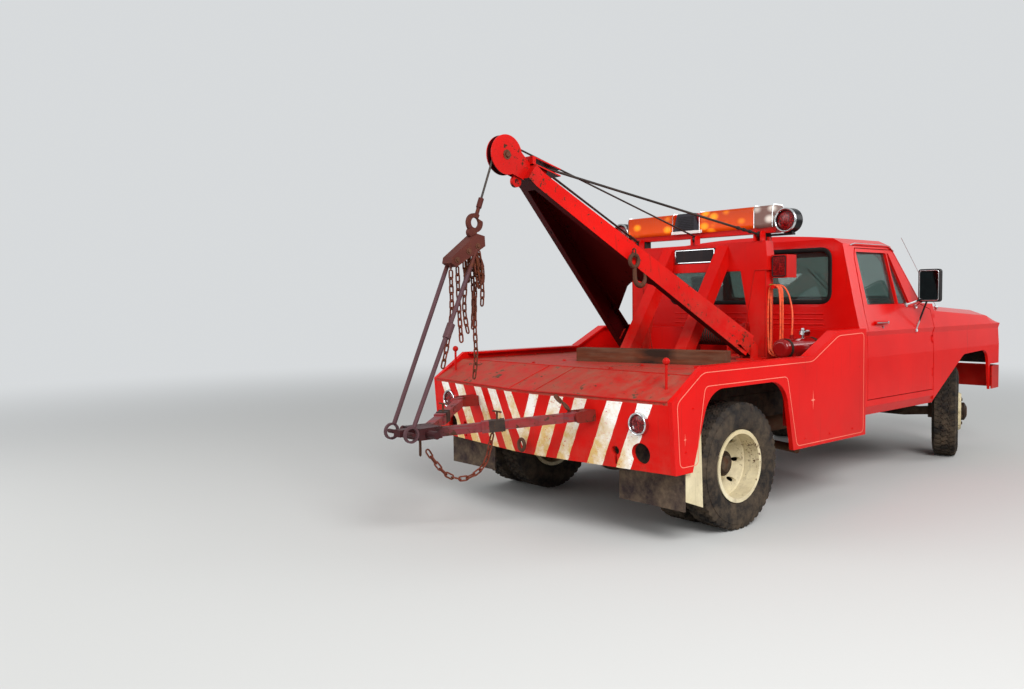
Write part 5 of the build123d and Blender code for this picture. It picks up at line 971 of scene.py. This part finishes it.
pin = [(0, 0), (0, 0.012), (0.006, 0.012), (0.006, 0.008), (0.12, 0.008), (0.128, 0.003), (0.128, 0)]
handles.append(turned(pin, at((-1590, 70, 634)), (0, 0, -1), 14))
piece("tee_handles", handles, forged, "tow_frame")

# Grab hooks: forged steel, one at the tow bar's near pivot and one hung by a short chain from the
# boom's near leg.


def grab_hook(eye_at, way, across, size):
    """A forged hook: an eye ring, then a shank that runs along way and bends back through 215 degrees. Its
    section is round and thins to the tip."""
    eye_at, way, across = (np.asarray(v, float) for v in (eye_at, way, across))
    flat = np.cross(way, across)
    ring = eye_at + size * 0.34 * round_profile(20) @ [way, across]
    bend = np.radians(np.linspace(0, 215, 22))[:, None]
    centre = eye_at + size * (0.95 * way + 0.42 * across)
    curve = centre + size * 0.42 * (np.sin(bend) * way - np.cos(bend) * across)
    line = np.concatenate([[eye_at + way * size * 0.36, eye_at + way * size * 0.66], curve])
    thick = np.interp(np.linspace(0, 1, len(line)), [0, 0.5, 1], [0.11, 0.16, 0.06]) * size
    rows = swept(line, round_bar, flat)[0]
    rows = line[:, None] + (rows - line[:, None]) * thick[:, None, None]
    return [swept(ring, round_bar * size * 0.11, flat, True), (rows, False, True, True)]


tail_hook = grab_hook(at((-952, -500, 792)), (-0.55, 0.35, 0.75), (-0.6, -0.6, -0.2), 0.07)
piece("tail_grab_hook", tail_hook, forged, "tow_frame")
leg_hook = grab_hook(at((-150, -318, 1662)), (0.06, 0, -1), (1, 0, 0.06), 0.12)
leg_hook.append(links(((-150, -318, 1735), (-146, -318, 1690), (-148, -318, 1640))))
piece("leg_hook", leg_hook, forged, "boom_arm")

# Timber: an old baulk of softwood laid across the deck to rest loads on. Grain runs along it, greyed in
# broad patches, with a dark oily stain near its middle.
wood, shader, where = blank("weathered softwood baulk")
tree = wood.node_tree
from_middle = node(tree, "Mapping", {"Vector": where, "Location": -at((105, -235, 1020))})[0]
lengthways = node(tree, "VectorRotate", {"Vector": from_middle, "Angle": math.radians(73.98)},
                  rotation_type="Z_AXIS")[0]
grain = noise(stretched(lengthways, (3.0, 120.0, 60.0)), 1.0, 7.0, Roughness=0.6)
broad = noise(stretched(lengthways, (5.0, 22.0, 22.0)), 1.0, 4.0)
grey = blend(ranged(broad, 0.4, 0.7, 0, 0.55), blend(grain, "#2a120b", "#7a4128"), "#6b5442")
from_stain = maths("ABSOLUTE", maths("ADD", node(tree, "SeparateXYZ", {0: lengthways})["X"], -0.06))
stain = maths("MULTIPLY", ranged(from_stain, 0.09, 0.16, 0.85, 0.0), ranged(broad, 0.3, 0.55))
feed(shader, {"Base Color": blend(stain, grey, "#17100c"), "Roughness": 0.82, "Specular IOR Level": 0.2,
              "Normal": bump(grain, 0.9, 0.003)})
dress(wood, "timber")

# Bench seat: two foam cushions in sewn vinyl, the middle dark red and the ends black, on a steel box.
# The foam fills the cover tight, and sewn channels run from front to back.
vinyl, shader, where = blank("sewn red and black vinyl")
hide = node(vinyl.node_tree, "TexVoronoi", {"Vector": where, "Scale": 420.0})["Distance"]
end = maths("GREATER_THAN", maths("ABSOLUTE", located(vinyl)[1]["Y"]), 0.48)
feed(shader, {"Base Color": blend(end, "#5e1216", "#1b1718"), "Roughness": ranged(hide, 0, 1, 0.38, 0.6),
              "Normal": bump(hide, 0.3, 0.0005)})
half_width, edge_round, voxel, most_blown = 624, 0.028, 0.009, 0.012
channel_depth, channel_width = 0.007, 0.009


def vertex_values(mesh, kind):
    """The places ("co") or directions ("normal") of a mesh's points."""
    found = np.empty(len(mesh.vertices) * 3)
    mesh.vertices.foreach_get(kind, found)
    return found.reshape(-1, 3)


def evaluated(pad):
    """An object as its modifiers leave it."""
    return pad.evaluated_get(bpy.context.evaluated_depsgraph_get())


def cushion(name, section, channel_way):
    """A pad. The section, in mm, is carried across, its edges rounded by 28 mm, and remeshed at 9 mm. It is
    blown up as cloth at a pressure of 4 for 20 frames, and no point moves more than 12 mm. Then channels are
    pressed in against channel_way, by 7 mm * exp(-(distance / 9 mm)^2)."""
    shape = bmesh.new()
    ends = [[shape.verts.new(p) for p in at([(x, y * half_width, z) for x, z in section])] for y in (-1, 1)]
    shape.faces.new(ends[0])
    shape.faces.new(ends[1][::-1])
    for a in range(len(section)):
        b = (a + 1) % len(section)
        shape.faces.new((ends[0][a], ends[1][a], ends[1][b], ends[0][b]))
    bmesh.ops.recalc_face_normals(shape, faces=shape.faces)
    bmesh.ops.bevel(shape, geom=shape.edges[:], offset=edge_round, segments=3, profile=0.5, affect="EDGES")
    mesh = bpy.data.meshes.new(name)
    shape.to_mesh(mesh)
    shape.free()
    pad = bpy.data.objects.new(name, mesh)
    bpy.context.collection.objects.link(pad)
    pad.modifiers.new("remesh", "REMESH").voxel_size = voxel
    mesh = bpy.data.meshes.new_from_object(evaluated(pad))
    pad.modifiers.clear()
    pad.data = mesh
    moved = vertex_values(mesh, "co")
    cloth = pad.modifiers.new("cloth", "CLOTH")
    cloth.settings.use_pressure = True
    cloth.settings.uniform_pressure_force = 4
    cloth.settings.effector_weights.gravity = 0
    for frame_number in range(1, 21):
        scene.frame_set(frame_number)
    step = vertex_values(evaluated(pad).data, "co") - moved
    size = np.linalg.norm(step, axis=1, keepdims=True)
    moved += step * np.minimum(1, most_blown / np.maximum(size, 1e-9))
    pad.modifiers.clear()
    scene.frame_set(1)
    channels = np.arange(-480, 481, 160) / 1000
    nearest = np.abs(moved[:, 1:2] - channels).min(axis=1)
    way = np.array(channel_way)
    front = np.clip(vertex_values(mesh, "normal") @ way, 0, 1)
    moved -= (channel_depth * np.exp(-(nearest / channel_width) ** 2) * front)[:, None] * way
    mesh.vertices.foreach_set("co", moved.ravel())
    mesh.polygons.foreach_set("use_smooth", np.ones(len(mesh.polygons), bool))
    finish = pad.modifiers.new("fine", "SUBSURF")
    finish.levels = finish.render_levels = 1
    mesh.materials.clear()
    mesh.materials.append(vinyl)
    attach(pad, "chassis")
    return pad


sit = cushion("seat_cushion", [(1805, 885), (2132, 892), (2132, 972), (1805, 958)], (0, 0, 1))
lean_on = cushion("seat_back", [(1632, 900), (1768, 985), (1684, 1388), (1606, 1390)], (0.97, 0, 0.22))
box_paint = weathered("black painted seat box", "#1b1919", "#262322", wear=0.3, dust=0.4, dust_top=1.2)
box_side = [(x, -628, z) for x, z in ((1645, 640), (2078, 640), (2098, 862), (2110, 874), (1650, 874))]
seat_box = piece("seat_box", [plate(box_side, (0, 1256, 0))], box_paint, smooth=30)
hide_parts("seat")
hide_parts("seat")
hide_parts("seat")

# Dash, column and wheel: black moulded plastic with a fine grain. The dials and the radio have dark
# glass faces and no marks.
dash_black = weathered("black grained plastic", "#1f1c1d", "#2a2627", wear=0.0, gloss=0.55, dust=0.3,
                       dust_top=1.6)
dress(dash_black, "dash")
dial_face = weathered("dial glass", "#0e1112", "#161a1b", wear=0.0, gloss=0.1, dust=0.1)
dial = [(0, 0), (0.004, 0), (0.005, 0.046), (0, 0.05)]
dials = [turned(dial, at((2480, y, 1222)), (-1, 0, 0), 28) for y in (300, 420)]
piece("dash_dials", [*dials, slab((2475.5, -40, 1180), (2480, 140, 1240))], dial_face)

# Mirrors: chromed tube arms carry black-backed heads. The silvered glass stands in a bright frame.
mirror_finish = weathered("black head and chromed arms", "#151314", "#1f1c1d", wear=0.1, gloss=0.35, dust=0.2)
arm = maths("LESS_THAN", maths("ABSOLUTE", located(mirror_finish)[1]["Y"]), 1.0165)
cover(mirror_finish, arm, "#d0d3d5", Metallic=arm, Roughness=0.22)
dress(mirror_finish, "mirror_left", "mirror_right")
silvered = weathered("silvered glass", "#4b5054", "#44494c", wear=0.0, gloss=0.05, dust=0.1, metal=1.0)
for side, y in sides:
    view = [(2377.4, y * out, z) for out, z in ((1027, 1374), (1173, 1374), (1173, 1606), (1027, 1606))]
    glass = slab((2376.8, y * 1027, 1374), (2377.8, y * 1173, 1606))
    piece("mirror_glass_" + side, [glass], silvered, side + "_door")
    piece("mirror_frame_" + side, [trim(view, 0.02, round_bar * 0.004, (1, 0, 0), True, 6)], chrome,
          side + "_door")

# Aerial and wipers: a thin steel whip leans back from a chromed ball on the right fender, and two
# spring-steel wiper arms hold rubber blades on the windscreen.
whip = at([(x, -900, z) for x, z in ((2966, 1322), (2900, 1378), (2640, 1600), (2332, 1868))])
ball = [(-0.018, 0), (-0.018, 0.013), (0.002, 0.014), (0.012, 0.008), (0.016, 0)]
piece("aerial", [swept(whip, round_bar * 0.0022, (0, 1, 0)),
                 turned(ball, at((2966, -900, 1316)), (-0.6, 0, 0.8), 16)], chrome)
arms, blades = [], []
for y in (380, -300):
    low = screen_foot + (0, y, 0) + screen_out * 10
    tip = low + screen_rise * 330 + (0, 190, 0)
    bend = low + screen_rise * 180 + (0, 110, 0) + screen_out * 8
    arm_line = at([low + screen_rise * 30 + (0, 40, 0), bend, tip + screen_out * 5])
    arms.append(swept(arm_line, round_bar * 0.0035, (0, 1, 0)))
    blade_line = at([tip - screen_rise * 190 - (0, 60, 0), tip + screen_rise * 40 + (0, 60, 0)])
    blades.append(swept(blade_line, round_bar * 0.004, (0, 1, 0)))
piece("wiper_arms", arms, chassis_black)
piece("wiper_blades", blades, gasket_rubber)

# Headlamps and grille: pressed sealed-beam glass, and thin bright bars over a dark core.
lamp_glass = weathered("pressed headlamp glass", "#aeb6b8", "#c3c8c9", wear=0.0, gloss=0.08, dust=0.1,
                       metal=0.6)
lenses = [turned(domed(0.084, 0.007, 12), at((4077, y, 1000)), (1, 0, 0), 40) for y in (760, -760)]
piece("headlamp_glass", lenses, lamp_glass)
bars = [slab((4050, -612, z), (4066, 612, z + 6)) for z in range(905, 1120, 30)]
piece("grille_bars", bars, chrome)
piece("grille_core", [slab((4028, -618, 884), (4034, 618, 1126))], gasket_rubber)

# Wheel-arch liners: dark undersealed sheet inside each front fender.
underseal = weathered("black underseal", "#151312", "#211d1a", wear=0.1, gloss=0.75, dust=0.7, dust_top=1.1)
liners = [slab((2792, y * 470, 620), (3872, y * 474, 985)) for side, y in sides]
piece("arch_liners", liners, underseal)

# Air tank fittings: a strap near each end, and a chromed regulator with a round gauge.
strap = [(-0.014, 0.0655), (-0.014, 0.068), (0.014, 0.068), (0.014, 0.0655)]
straps = [turned(strap, at((x, -800, 1060.3)), (1, 0, 0), 40, close=True) for x in (850, 1180)]
piece("tank_straps", straps, cast_iron)
housing = [(0, 0), (0, 0.012), (0.02, 0.012), (0.022, 0.026), (0.05, 0.024), (0.056, 0.012), (0.07, 0.01),
           (0.07, 0)]
gauge = [(0, 0), (0, 0.007), (0.03, 0.007), (0.03, 0.022), (0.044, 0.022), (0.046, 0)]
regulator = [turned(housing, at((1080, -800, 1124)), (0, 0, 1), 24),
             turned(gauge, at((1080, -812, 1160)), (-0.5, -0.86, 0), 24)]
piece("tank_regulator", regulator, chrome)

# Cab back and lamp trim: three pressed ribs stiffen the cab's rear panel, rings hold the headlamps, and
# amber markers sit on the bumper's corners.
rib_ends = [at([(1533.5, -700, z), (1533.5, 700, z)]) for z in (1205, 1245, 1285)]
ribs = [swept(ends, round_bar * (0.003, 0.007)) for ends in rib_ends]
piece("cab_back_ribs", ribs, cab_red)
lamp_rings = [turned(hoop(0.091, 0.006), at((4083, y, 1000)), (1, 0, 0), 40, close=True) for y in (760, -760)]
piece("headlamp_rings", lamp_rings, chrome)
marker = weathered("amber marker glass", "#d0660c", "#c05a0c", wear=0.0, gloss=0.2, dust=0.1)
markers = [slab((3990, y * 985, 640), (4060, y * 989, 680)) for side, y in sides]
piece("corner_markers", markers, marker)
